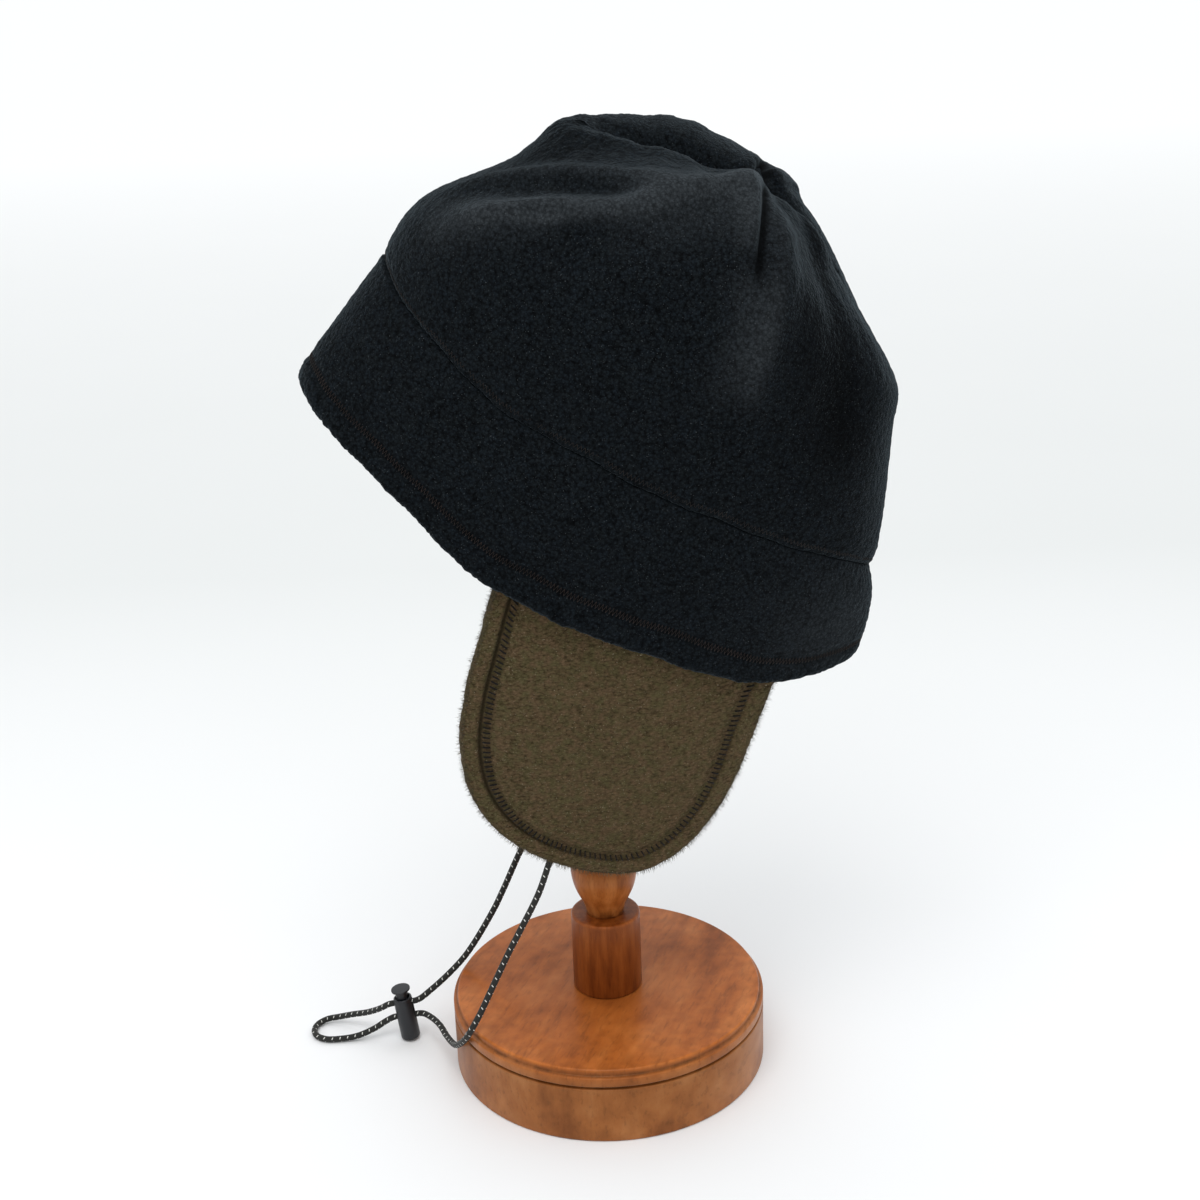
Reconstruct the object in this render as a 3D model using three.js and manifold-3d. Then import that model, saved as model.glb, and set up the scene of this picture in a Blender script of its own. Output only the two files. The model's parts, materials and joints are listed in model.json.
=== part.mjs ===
// Fleece beanie with ear flaps and a chin cord, on its turned wooden hat stand.
// Millimetres, +Z up. The origin is the centre of the stand's underside.
// The hat's front points to -X, and the wearer's left side to -Y.
import * as THREE from 'three';
import { mergeVertices } from 'three/addons/utils/BufferGeometryUtils.js';
import Module from 'manifold-3d';

// Stand: driving dimensions
const BASE_RADIUS = 75;
const BASE_HEIGHT = 37.2;
const SOCKET_RADIUS = 16.5;
const SOCKET_HEIGHT = 39.6;
const STEM_RADIUS = 11;
const DOME_RADIUS = 50;
const DOME_CENTRE_HEIGHT = 380.1;

// Hat: driving dimensions
const HAT_TILT = THREE.MathUtils.degToRad(25.4);
const HAT_HEIGHT = 250;
const FLEECE = 3;
const HEM = 6;
const SEAM_GAP = 0.6;
const RING_SIDES = 60;

// Ear flaps
const FLAP_THICKNESS = 6;
const FAR_FLAP_SHIFT = 4;
const FLAP_EDGE_POINTS = 40;
const FLAP_PLAN_CENTRE = -12;
const FLAP_PLAN_REACH = 126;

// Chin cord and its lock
const CORD_RADIUS = 1.5;
const CORD_SIDES = 8;
const CORD_STEPS = 80;
const LOCK_LEAN = THREE.MathUtils.degToRad(7);
const LOCK_PLACE = new THREE.Vector3(-99.3, 13.5, 0.9);
const BARREL_RADIUS = 4.75;
const BARREL_HEIGHT = 23;
const BORE_RADIUS = 3.45;
const BORE_FLOOR = 4.6;
const PLUNGER_RADIUS = 3.1;
const PLUNGER_FOOT = 8.2;
const CAP_RADIUS = 4.7;
const CAP_UNDERSIDE = 27;
const CAP_TOP = 28;
const SLOT_WIDTH = 3.8;
const SLOT_BOTTOM = 10.3;
const SLOT_TOP = 21.9;
const PRESS_TRAVEL = 3;

// Colours and finishes
const FLEECE_BLACK = { color: 0x191d22, roughness: 0.95, metalness: 0 };
const FLEECE_OLIVE = { color: 0x57472f, roughness: 0.95, metalness: 0 };
const WOOD = { color: 0x9a5226, roughness: 0.45, metalness: 0 };
const CORD_BLACK = { color: 0x222220, roughness: 0.8, metalness: 0 };
const PLASTIC_BLACK = { color: 0x17191d, roughness: 0.4, metalness: 0 };

const wasm = await Module();
wasm.setup();

// Rings round the hat in its own frame, from the rim up. A ring is an oval from front_x to back_x,
// near_y wide on the wearer's left and far_y on the right. Its height is given at eight angles
// from the back (0) by the side (90) to the front (180), and the far side lies far_rise higher.
const KNOT_ANGLES = [0, 20, 45, 75, 105, 120, 150, 180].map(THREE.MathUtils.degToRad);
const BAND_RINGS = [
  // front_x, back_x, near_y, far_y, far_rise, heights at the knot angles
  [-146.5, 118.5, 47, 47, -2, 12, 8, -5, -6, -7, 4, 22, 30],
  [-149, 123.5, 49.5, 49.5, -2, 15, 11, -2, -3, -4, 7, 25, 33],
  [-149.5, 125, 50.5, 50.5, -2, 22, 18, 5, 5, 4, 14, 32, 40],
  [-145.5, 121, 53, 53, -2, 32, 30, 20, 21, 21, 30, 47, 55],
  [-140.5, 116.5, 54, 54, -2, 41, 42, 38, 40, 43, 48, 64, 72],
  [-137.5, 112, 53, 53, -2, 47, 51, 53, 58, 61, 64, 77, 85],
];
const CROWN_RINGS = [
  // front_x, back_x, near_y, far_y, far_rise, heights at the knot angles
  [-134.5, 112.5, 57, 57, -2, 53, 57, 59, 64, 67, 69, 82, 90],
  [-135, 111, 60.5, 60.5, -2, 61, 65, 69, 74, 77, 80, 89, 96],
  [-134.5, 105.5, 64, 64, -2, 78, 81, 86, 93, 97, 98, 102, 105],
  [-132.5, 98.5, 67, 67, -2, 96, 100, 105, 112, 116, 116, 115, 114],
  [-127.5, 92, 68, 68, 0, 113, 117, 123, 130, 133, 131, 126, 124],
  [-119, 87.5, 65, 65, 3, 128, 130, 137, 145, 147, 144, 137, 133],
  [-110, 76, 58, 58, 7, 138, 142, 151, 160, 160, 156, 146, 141],
  [-102, 61, 47, 48, 10, 148, 152, 163, 171, 171, 166, 155, 150],
  [-96, 48, 34, 37, 10.5, 158, 162, 171, 179, 179, 175, 165, 160],
  [-91, 36, 20, 25, 8, 166, 170, 177, 183, 183, 180, 173, 168],
  [-86, 27, 9, 12, 6, 173, 175, 179, 182, 181, 179, 176, 175],
  [-82, 20, 0, 0, 0, 178, 178, 179, 179, 178, 178, 178, 178],
];
const SEAM_ROW = CROWN_RINGS.length - 1;

// Folds: each lifts the cloth by its height along a path, and fades over its width.
const CROWN_FOLDS = [
  { height: 5.5, width: 8, path: [[-117, -40, 130], [-106, -46, 136], [-89, -49, 146],
    [-68, -47, 157], [-45, -36, 171], [-19, -22, 182], [-5, -8, 186]] },
  { height: -5, width: 7, path: [[-112, -30, 138], [-91, -34, 150], [-70, -34, 162], [-50, -28, 172]] },
  { height: 3, width: 6, path: [[-104, -14, 149], [-85, -20, 160], [-62, -24, 171], [-38, -24, 178]] },
  { height: -5, width: 20, path: [[-95, -60, 126], [-75, -62, 136], [-50, -58, 146]] },
  { height: -5, width: 7, path: [[-78, 3, 177], [-60, 2, 178], [-39, 2, 179], [-21, 0, 180], [-4, 0, 180]] },
  { height: -4, width: 7, path: [[4, 0, 180], [24, 0, 176], [40, 0, 166], [60, 0, 150], [85, 0, 130]] },
  { height: 4, width: 10, path: [[1, -28, 182], [7, -45, 170], [12, -60, 150], [17, -68, 120], [24, -68, 92]] },
  { height: -5, width: 20, path: [[34, -36, 164], [48, -45, 142], [58, -50, 120]] },
  { height: 3, width: 8, path: [[2, -10, 187], [14, -15, 184], [24, -18, 178], [38, -20, 167]] },
  { height: -4.5, width: 6, path: [[85, -3, 130], [103, -3, 92], [113, -3, 56]] },
  { height: 2.5, width: 10, path: [[92, 14, 118], [102, 14, 92], [110, 14, 58]] },
];
const BAND_FOLDS = [
  { height: -4, width: 6, path: [[122, -3, 18], [121, -3, 34], [113, -3, 50]] },
  { height: 2.5, width: 10, path: [[120, 14, 22], [117, 14, 36], [109, 14, 50]] },
];

// Band profile, once round the wall: ring, how far in from it, how far up from it.
const BAND_PROFILE = [
  [5, 0, 0], [4, 0, 0], [3, 0, 0], [2, 0, 0], [1, 0, 0], [0, 0, 0],
  [0, 1.2, -0.4], [0, 3, 1.2], [1, HEM, 0], [1.7, HEM, 0], [2.2, FLEECE, 0], [3, FLEECE, 0],
  [4, FLEECE, 0], [5, FLEECE, 0],
];
// The band's top is tucked up behind the crown's lower edge: crown ring, how far in, how far up.
const TUCK_INSET = FLEECE + SEAM_GAP;
const TUCK_PROFILE = [
  [0, TUCK_INSET + FLEECE, 0], [0.8, TUCK_INSET + FLEECE, 0], [0.8, TUCK_INSET, 0],
  [0.2, TUCK_INSET, 0], [0, TUCK_INSET, -1.6],
];

// Outline of an ear flap in the hat's frame, x and z, from the top front corner round the tip.
const FLAP_OUTLINE = [
  [-41, 14], [-41, -8], [-38, -35], [-34, -62], [-26, -88], [-12, -110], [8, -124], [32, -129.5],
  [58, -127.5], [77, -120], [90, -104], [96.5, -80], [97, -58], [94.5, -36], [92, -15], [88, 13],
];
// Depth of the flap's outer face at its middle, by height.
const FLAP_DEPTH = [
  // z, depth
  [-130, 30], [-95, 35], [-60, 39.5], [-30, 41.8], [-8, 42.4], [6, 43], [20, 44],
];
// Spine that the flap's rings close in on, and the rings: share of the way in, half thickness.
const FLAP_SPINE = [[26, -40], [31, -62]];
const FLAP_FACE = [[0.85, 2.7], [0.5, 2.8], [0.2, 2.5], [0.13, 3], [0.05, 2.6]];
const FLAP_BACK = [[0.05, 2.6], [0.2, 2.8], [0.5, 2.8], [0.85, 2.7]];

// Route of the cord's middle, from the near flap's tip down to the lock, round its loop on the
// table, back through the lock and up to the far flap's tip.
const CORD_ROUTE = [
  [-24.4, -25.6, 118.2], [-30.2, -28.2, 103], [-40, -32, 85], [-45.3, -34, 75.5],
  [-54.3, -39, 58.5], [-59, -41.5, 49.5], [-63.3, -43, 42], [-66.8, -40.5, 35],
  [-72, -29.5, 24], [-75.6, -17.5, 16.8], [-79.6, -7, 14.4], [-83, 1, 14.6], [-88, 9, 14.2],
  [-92.8, 13.2, 14], [-99.3, 13.5, 13.1], [-106.7, 13.5, 12.3], [-111, 13.7, 10], [-117, 13.7, 6],
  [-125.5, 12.5, 2.8], [-133, 12, 1.8], [-141, 12, 1.7], [-146.2, 15, 1.7], [-148.3, 20, 1.7],
  [-147.4, 25, 1.8], [-143, 28.6, 2.4], [-136.5, 28.3, 3.8], [-129.3, 25.4, 6.8], [-120.5, 20.6, 11],
  [-113.4, 15.6, 16.3], [-108.4, 13.7, 19.8], [-101.7, 13.5, 20.7], [-94.6, 13.6, 21.7],
  [-87.5, 15, 26.5], [-77.7, 17, 34.8], [-69, 20, 43.5], [-55, 24, 65], [-49.5, 25, 76],
  [-38, 26.6, 100], [-30, 26.4, 111], [-24.6, 25.7, 117.9],
];

const hat = new THREE.Group();
hat.rotation.y = HAT_TILT;
hat.position.z = HAT_HEIGHT;

const assembly = new THREE.Group();
assembly.add(hat);

/** Value of a table's row, smooth between its rows. */
function rowAt(rows, place) {
  const last = rows.length - 1;
  const clamped = Math.min(Math.max(place, 0), last);
  const index = Math.min(Math.floor(clamped), last - 1);
  const share = clamped - index;
  const before = rows[Math.max(index - 1, 0)];
  const start = rows[index];
  const end = rows[index + 1];
  const after = rows[Math.min(index + 2, last)];
  return start.map((_, k) => smoothStep4(before[k], start[k], end[k], after[k], share));
}

/** Catmull-Rom value between b and c, with a and d outside them. */
function smoothStep4(a, b, c, d, share) {
  const cubic = 3 * (b - c) + d - a;
  const square = 2 * a - 5 * b + 4 * c - d;
  return b + 0.5 * share * (c - a + share * (square + share * cubic));
}

/** Height of a ring at an angle: a cubic through the knots, level at the back and the front. */
function ringHeight(heights, angle) {
  const last = KNOT_ANGLES.length - 1;
  let index = 0;
  while (index < last - 1 && angle >= KNOT_ANGLES[index + 1]) index += 1;
  const span = KNOT_ANGLES[index + 1] - KNOT_ANGLES[index];
  const share = (angle - KNOT_ANGLES[index]) / span;
  const slope = (k) => (k === 0 || k === last ? 0
    : span * (heights[k + 1] - heights[k - 1]) / (KNOT_ANGLES[k + 1] - KNOT_ANGLES[k - 1]));
  const rise = heights[index + 1] - heights[index];
  const from = slope(index);
  const to = slope(index + 1);
  return heights[index] + share * (from + share * (3 * rise - 2 * from - to + share * (from + to - 2 * rise)));
}

/** Point of a ring table at a place between its rings and an angle round it. */
function ringPoint(rings, place, angle) {
  const [frontX, backX, nearY, farY, farRise, ...heights] = rowAt(rings, place);
  const turn = ((angle % (2 * Math.PI)) + 2 * Math.PI) % (2 * Math.PI);
  const near = turn <= Math.PI;
  const side = near ? turn : 2 * Math.PI - turn;
  const sine = Math.sin(side);
  const x = (frontX + backX) / 2 + (backX - frontX) / 2 * Math.cos(side);
  const y = near ? -nearY * sine : farY * sine;
  const z = ringHeight(heights, side) + (near ? 0 : farRise * sine * sine);
  return new THREE.Vector3(x, y, z);
}

/** Outward direction of a ring table's surface; on the crown's top seam, midway between its sides. */
function outward(rings, place, angle) {
  const step = 0.02;
  const level = rings === CROWN_RINGS ? Math.min(place, SEAM_ROW - 0.6) : place;
  const across = (turn) => {
    const up = ringPoint(rings, level + step, turn).sub(ringPoint(rings, level - step, turn));
    const round = ringPoint(rings, level, turn + step).sub(ringPoint(rings, level, turn - step));
    return up.cross(round).normalize();
  };
  if (rings !== CROWN_RINGS || place < SEAM_ROW) return across(angle);
  return across(angle).add(across(-angle)).normalize();
}

/** How far a list of folds lifts the cloth at a point. */
function foldLift(point, folds) {
  const spot = new THREE.Vector3();
  let lift = 0;
  for (const { height, width, path } of folds) {
    let nearest = Infinity;
    for (let k = 1; k < path.length; k += 1) {
      const line = new THREE.Line3(new THREE.Vector3(...path[k - 1]), new THREE.Vector3(...path[k]));
      nearest = Math.min(nearest, line.closestPointToPoint(point, true, spot).distanceTo(point));
    }
    lift += height * Math.exp(-((nearest / width) ** 2));
  }
  return lift;
}

/** Point of the crown, folds included, a given way in from its outer face. */
function crownPoint(place, angle, inset) {
  const point = ringPoint(CROWN_RINGS, place, angle);
  const lift = foldLift(point, CROWN_FOLDS);
  return point.addScaledVector(outward(CROWN_RINGS, place, angle), lift - inset);
}

/** Point of the band, folds included, a given way in and level with its ring. */
function bandPoint(place, angle, inset) {
  const direction = outward(BAND_RINGS, Math.max(place, 1.2), angle).setZ(0).normalize();
  const point = ringPoint(BAND_RINGS, place, angle);
  return point.addScaledVector(direction, foldLift(point, BAND_FOLDS) - inset);
}

/** One loop of points round the hat. */
function ringLoop(pointAt) {
  return Array.from({ length: RING_SIDES }, (_, k) => pointAt(2 * Math.PI * k / RING_SIDES));
}

/**
 * Closed body from loops of equal length, each joined to the next.
 * With ends "joined" the last loop meets the first, and with "capped" both end loops are filled by
 * rungs between their two sides.
 */
function bodyFromLoops(loops, ends) {
  const count = loops[0].length;
  const index = [];
  const at = (loop, k) => (loop % loops.length) * count + (k % count);
  const strips = ends === 'joined' ? loops.length : loops.length - 1;
  for (let loop = 0; loop < strips; loop += 1) {
    for (let k = 0; k < count; k += 1) {
      index.push(at(loop, k), at(loop, k + 1), at(loop + 1, k + 1));
      index.push(at(loop, k), at(loop + 1, k + 1), at(loop + 1, k));
    }
  }
  if (ends === 'capped') {
    for (let k = 0; k < count / 2; k += 1) {
      const rung = [k, k + 1, count - k - 1, count - k];
      const first = rung.map((corner) => at(0, corner));
      const last = rung.map((corner) => at(loops.length - 1, corner));
      index.push(first[0], first[2], first[1], first[0], first[3], first[2]);
      index.push(last[0], last[1], last[2], last[0], last[2], last[3]);
    }
  }
  const geometry = new THREE.BufferGeometry();
  const positions = loops.flat().flatMap((point) => point.toArray());
  geometry.setAttribute('position', new THREE.Float32BufferAttribute(positions, 3));
  geometry.setIndex(index);
  return withoutFlatTriangles(mergeVertices(geometry, 1e-3));
}

/** The same geometry without the triangles that two corners have made flat. */
function withoutFlatTriangles(geometry) {
  const source = geometry.index.array;
  const kept = [];
  for (let k = 0; k < source.length; k += 3) {
    const corners = [source[k], source[k + 1], source[k + 2]];
    if (new Set(corners).size === 3) kept.push(...corners);
  }
  geometry.setIndex(kept);
  return geometry;
}

/** Named mesh with its own material, added to a group. */
function place(group, name, geometry, finish) {
  const mesh = new THREE.Mesh(geometry, new THREE.MeshStandardMaterial(finish));
  mesh.name = name;
  group.add(mesh);
  return mesh;
}

/** Turned body from a profile of radius and height. */
function turned(profile, sides) {
  const geometry = new THREE.LatheGeometry(profile.map(([r, z]) => new THREE.Vector2(r, z)), sides);
  return geometry.rotateX(Math.PI / 2);
}

/** Round block with a rim step and a narrow groove. */
function addStandBase() {
  const rim = BASE_RADIUS - 1.6;
  const stepHeight = BASE_HEIGHT - 3;
  const groove = BASE_RADIUS - 1.1;
  place(assembly, 'stand_base', turned([
    [0, 0], [BASE_RADIUS - 0.6, 0], [BASE_RADIUS, 0.6], [BASE_RADIUS, 26.2], [groove, 26.5],
    [groove, 27.7], [BASE_RADIUS, 28], [BASE_RADIUS, stepHeight - 0.5], [rim, stepHeight],
    [rim, BASE_HEIGHT - 0.8], [rim - 0.8, BASE_HEIGHT], [0, BASE_HEIGHT],
  ], 40), WOOD);
}

/** Short thick post on the base that the neck stands in. */
function addStandSocket() {
  const top = BASE_HEIGHT + SOCKET_HEIGHT;
  place(assembly, 'stand_socket', turned([
    [0, BASE_HEIGHT], [SOCKET_RADIUS, BASE_HEIGHT], [SOCKET_RADIUS, top - 0.9],
    [SOCKET_RADIUS - 0.9, top], [0, top],
  ], 32), WOOD);
}

/** Flared neck, plain stem and the round top that the hat sits on. */
function addStandPost() {
  const foot = BASE_HEIGHT + SOCKET_HEIGHT;
  const domeSteps = 6;
  const dome = Array.from({ length: domeSteps + 1 }, (_, k) => {
    const angle = Math.PI / 2 * k / domeSteps;
    return [DOME_RADIUS * Math.cos(angle), DOME_CENTRE_HEIGHT + DOME_RADIUS * Math.sin(angle)];
  });
  place(assembly, 'stand_post', turned([
    [0, foot], [9.8, foot], [10.4, foot + 4], [12.6, foot + 10], [15.2, foot + 16],
    [16.8, foot + 21], [16.6, foot + 25], [13.2, foot + 30], [STEM_RADIUS, foot + 35],
    [STEM_RADIUS, DOME_CENTRE_HEIGHT - 44], [16, DOME_CENTRE_HEIGHT - 33],
    [30, DOME_CENTRE_HEIGHT - 26], [44, DOME_CENTRE_HEIGHT - 16], ...dome.slice(0, -1),
    [0, DOME_CENTRE_HEIGHT + DOME_RADIUS],
  ], 24), WOOD);
}

/**
 * Half of the crown on one side, -1 near or +1 far: a shell with its folds, up to the top seam.
 * Cloth that a fold would carry over the seam stops at it.
 */
function addCrownHalf(name, side) {
  const rows = 16;
  const columns = RING_SIDES / 2;
  const places = Array.from({ length: rows }, (_, k) => SEAM_ROW * (1 - k / (rows - 1)));
  const sections = Array.from({ length: columns + 1 }, (_, k) => {
    const angle = -side * Math.PI * k / columns;
    const outer = places.map((level) => crownPoint(level, angle, 0));
    const inner = places.map((level) => crownPoint(level, angle, FLEECE));
    const fromSeam = (point) => Math.max(side * point.y, 0) + SEAM_GAP / 2;
    return [...outer, ...inner.reverse()].map((point) => point.setY(side * fromSeam(point)));
  });
  if (side < 0) sections.reverse();
  place(hat, name, bodyFromLoops(sections, 'capped'), FLEECE_BLACK);
}

/** Wide band with its turned hem, and its top edge behind the crown's lower edge. */
function addBand() {
  const loops = BAND_PROFILE.map(([level, inset, lift]) => ringLoop((angle) => {
    const point = bandPoint(level, angle, inset);
    point.z += lift;
    return point;
  }));
  const tucked = TUCK_PROFILE.map(([level, inset, lift]) => ringLoop((angle) => {
    const point = crownPoint(level, angle, inset);
    point.z += lift;
    return point;
  }));
  place(hat, 'band', bodyFromLoops([...loops, ...tucked], 'joined'), FLEECE_BLACK);
}

/** Depth of a flap's middle surface below its outer face's middle, curved like the band. */
function flapDepth(x, z) {
  const last = FLAP_DEPTH.length - 1;
  let index = 0;
  while (index < last - 1 && z > FLAP_DEPTH[index + 1][0]) index += 1;
  const [lowZ, lowDepth] = FLAP_DEPTH[index];
  const [highZ, highDepth] = FLAP_DEPTH[index + 1];
  const share = Math.min(Math.max((z - lowZ) / (highZ - lowZ), 0), 1);
  const reach = (x - FLAP_PLAN_CENTRE) / FLAP_PLAN_REACH;
  return (lowDepth + (highDepth - lowDepth) * share) * Math.sqrt(1 - reach * reach) - FLAP_THICKNESS / 2;
}

/** Ear flap on one side, -1 near or +1 far, hanging a given way further back than its outline. */
function addEarFlap(name, side, shift) {
  const outline = new THREE.CatmullRomCurve3(
    FLAP_OUTLINE.map(([x, z]) => new THREE.Vector3(x + shift, 0, z)), true, 'centripetal');
  const edge = outline.getSpacedPoints(FLAP_EDGE_POINTS).slice(0, FLAP_EDGE_POINTS);
  const spine = new THREE.Line3(
    new THREE.Vector3(FLAP_SPINE[0][0], 0, FLAP_SPINE[0][1]),
    new THREE.Vector3(FLAP_SPINE[1][0], 0, FLAP_SPINE[1][1]));
  const ring = (share, halfThickness) => edge.map((point) => {
    const goal = spine.closestPointToPoint(point, true, new THREE.Vector3());
    const spot = point.clone().lerp(goal, share);
    spot.y = side * (flapDepth(spot.x, spot.z) + halfThickness);
    return spot;
  });
  const face = FLAP_FACE.map(([share, half]) => ring(share, half));
  const back = FLAP_BACK.map(([share, half]) => ring(share, -half));
  const loops = [...face, ring(0, 0), ...back];
  if (side < 0) loops.reverse();
  place(hat, name, bodyFromLoops(loops, 'capped'), FLEECE_OLIVE);
}

/** Elastic cord as one tube along its route. */
function addChinCord() {
  const route = new THREE.CatmullRomCurve3(
    CORD_ROUTE.map((point) => new THREE.Vector3(...point)), false, 'centripetal');
  const corners = Array.from({ length: CORD_SIDES }, (_, k) => {
    const angle = 2 * Math.PI * (k + 0.5) / CORD_SIDES;
    return new THREE.Vector2(CORD_RADIUS * Math.cos(angle), CORD_RADIUS * Math.sin(angle));
  });
  const geometry = new THREE.ExtrudeGeometry(new THREE.Shape(corners),
    { extrudePath: route, steps: CORD_STEPS, bevelEnabled: false });
  place(assembly, 'chin_cord', geometry, CORD_BLACK);
}

/** Solid for joining and cutting, from a closed geometry. */
function solid(geometry) {
  const plain = geometry.clone();
  plain.deleteAttribute('normal');
  plain.deleteAttribute('uv');
  const merged = withoutFlatTriangles(mergeVertices(plain, 1e-4));
  return new wasm.Manifold(new wasm.Mesh({
    numProp: 3,
    vertProperties: new Float32Array(merged.attributes.position.array),
    triVerts: new Uint32Array(merged.index.array),
  }));
}

/** Geometry of a finished solid. */
function geometryOf(cut) {
  const mesh = cut.getMesh();
  const geometry = new THREE.BufferGeometry();
  geometry.setAttribute('position', new THREE.Float32BufferAttribute(mesh.vertProperties, 3));
  geometry.setIndex([...mesh.triVerts]);
  return geometry;
}

/** Upright slot through the lock along X, round at both ends. */
function slotCutter(bottom, top) {
  const half = SLOT_WIDTH / 2;
  const length = 4 * CAP_RADIUS;
  const shape = new THREE.Shape();
  shape.absarc(0, top - half, half, 0, Math.PI, false);
  shape.absarc(0, bottom + half, half, Math.PI, 2 * Math.PI, false);
  const geometry = new THREE.ExtrudeGeometry(shape, { depth: length, bevelEnabled: false, curveSegments: 5 });
  geometry.translate(0, 0, -length / 2);
  geometry.rotateX(Math.PI / 2);
  geometry.rotateZ(Math.PI / 2);
  return solid(geometry);
}

/** Barrel lock that both strands run through, with its sprung button. */
function addCordLock() {
  const lock = new THREE.Group();
  lock.position.copy(LOCK_PLACE);
  lock.rotation.y = -LOCK_LEAN;
  assembly.add(lock);
  const lip = 0.6;
  const barrel = solid(turned([
    [0, 0], [BARREL_RADIUS - lip, 0], [BARREL_RADIUS, lip], [BARREL_RADIUS, BARREL_HEIGHT - lip],
    [BARREL_RADIUS - lip, BARREL_HEIGHT], [BORE_RADIUS, BARREL_HEIGHT], [BORE_RADIUS, BORE_FLOOR],
    [0, BORE_FLOOR],
  ], 20));
  const cutBarrel = barrel.subtract(slotCutter(SLOT_BOTTOM, SLOT_TOP));
  place(lock, 'cord_lock_barrel', geometryOf(cutBarrel), PLASTIC_BLACK);
  const button = solid(turned([
    [0, PLUNGER_FOOT], [PLUNGER_RADIUS, PLUNGER_FOOT], [PLUNGER_RADIUS, CAP_UNDERSIDE],
    [CAP_RADIUS, CAP_UNDERSIDE], [CAP_RADIUS, CAP_TOP - 0.3], [CAP_RADIUS - 0.4, CAP_TOP],
    [0, CAP_TOP],
  ], 20));
  const cutButton = button.subtract(slotCutter(SLOT_BOTTOM - 0.1, SLOT_TOP + PRESS_TRAVEL));
  place(lock, 'cord_lock_button', geometryOf(cutButton), PLASTIC_BLACK);
}

addStandBase();
addStandSocket();
addStandPost();
addCrownHalf('crown_left', -1);
addCrownHalf('crown_right', 1);
addBand();
addEarFlap('ear_flap_left', -1, 0);
addEarFlap('ear_flap_right', 1, FAR_FLAP_SHIFT);
addChinCord();
addCordLock();

export default assembly;
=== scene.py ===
"""Fleece beanie with ear flaps and a chin cord, on its turned wooden hat stand.

Metres, +Z up. The origin is the centre of the stand's underside. The hat's front points to -X, and
the wearer's left side to -Y, towards the camera.
"""
import json
import math

import bpy
import numpy as np
from mathutils import Matrix, Vector
from numpy.linalg import norm

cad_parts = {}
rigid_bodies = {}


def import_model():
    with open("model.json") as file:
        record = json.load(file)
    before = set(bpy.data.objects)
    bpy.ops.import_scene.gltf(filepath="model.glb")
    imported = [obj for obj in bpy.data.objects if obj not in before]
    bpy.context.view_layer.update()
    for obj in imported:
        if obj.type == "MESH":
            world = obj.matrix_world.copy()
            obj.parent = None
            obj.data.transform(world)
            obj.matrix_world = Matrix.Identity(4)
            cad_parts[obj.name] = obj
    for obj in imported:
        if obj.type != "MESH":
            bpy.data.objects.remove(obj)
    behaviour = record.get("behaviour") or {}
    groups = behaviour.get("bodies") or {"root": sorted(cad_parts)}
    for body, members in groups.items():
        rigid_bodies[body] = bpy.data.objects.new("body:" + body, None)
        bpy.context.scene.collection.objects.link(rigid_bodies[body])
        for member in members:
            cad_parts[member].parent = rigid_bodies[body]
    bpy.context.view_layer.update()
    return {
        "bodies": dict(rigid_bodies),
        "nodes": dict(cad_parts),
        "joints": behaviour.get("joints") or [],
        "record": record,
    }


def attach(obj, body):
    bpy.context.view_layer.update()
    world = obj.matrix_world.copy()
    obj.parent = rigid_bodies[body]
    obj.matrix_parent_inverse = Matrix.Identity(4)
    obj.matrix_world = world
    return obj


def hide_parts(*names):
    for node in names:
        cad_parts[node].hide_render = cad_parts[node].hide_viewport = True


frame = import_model()

FULL_TURN = 2 * math.pi
BODY = "hat_on_stand"
BUTTON_BODY = "lock_button"

# Camera: place, the directions of its right, up and back, and its lens
CAMERA_PLACE = (0.0029, -0.7695, 0.5298)
CAMERA_RIGHT = (0.9993, -0.0131, -0.0342)
CAMERA_UP = (0.0366, 0.3573, 0.9333)
CAMERA_BACK = (0.0, -0.9339, 0.3576)
LENS_MM = 55.29
SENSOR_MM = 36.0

# Light and floor
LIGHT_PLACE = (-0.15, -0.55, 1.45)
LIGHT_AIM = (0, 0, 0.25)
LIGHT_WIDTH = 0.8
LIGHT_POWER = 6
FLOOR_REACH = 30.0

# Stand
BASE_RADIUS = 0.075
BASE_HEIGHT = 0.0372
SOCKET_RADIUS = 0.0165
SOCKET_HEIGHT = 0.0396
STEM_RADIUS = 0.011
DOME_RADIUS = 0.050
DOME_CENTRE_HEIGHT = 0.3801
# Radius and height: the neck's from the socket's top, and the head's from the dome's centre
NECK = np.array([
    [0.0088, 0], [0.0099, 0.0045], [0.0119, 0.009], [0.0137, 0.013], [0.015, 0.0175], [0.0156, 0.022],
    [0.015, 0.026], [0.0127, 0.0305], [STEM_RADIUS, 0.035],
])
HEAD = np.array([[STEM_RADIUS, -0.044], [0.016, -0.033], [0.03, -0.026], [0.044, -0.016]])
# Place in the ramp, and colour
WOOD_STAINS = ((0.36, (0.175, 0.041, 0.006)), (0.5, (0.275, 0.073, 0.012)), (0.66, (0.37, 0.117, 0.026)))
# Channel factors for the block's paler, greyer side: a painted reflection of the white surroundings.
SIDE_PAINTED_REFLECTION = (0.96, 1.2, 1.75)

# Hat
HAT_TILT = math.radians(25.4)
HAT_HEIGHT = 0.250
FLEECE = 0.003
HEM = 0.006
SEAM_GAP = 0.0006
CROWN_COLUMNS = 600
BAND_COLUMNS = 800
BAND_LOWEST_SLOPE = 1.2
HEM_STITCH_PLACE = 2.22
THREAD_RADIUS = 0.00011
NAP_HEIGHT = 0.00032
FLAP_NAP_HEIGHT = 0.00045
# Colour of the painted highlights on the fleece's lit crests
PAINTED_HIGHLIGHT_NAP = (0.036, 0.042, 0.047)
NOISE_VALUES = 8192
NOISE_PRIMES = (73856093, 19349663, 83492791)
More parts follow.
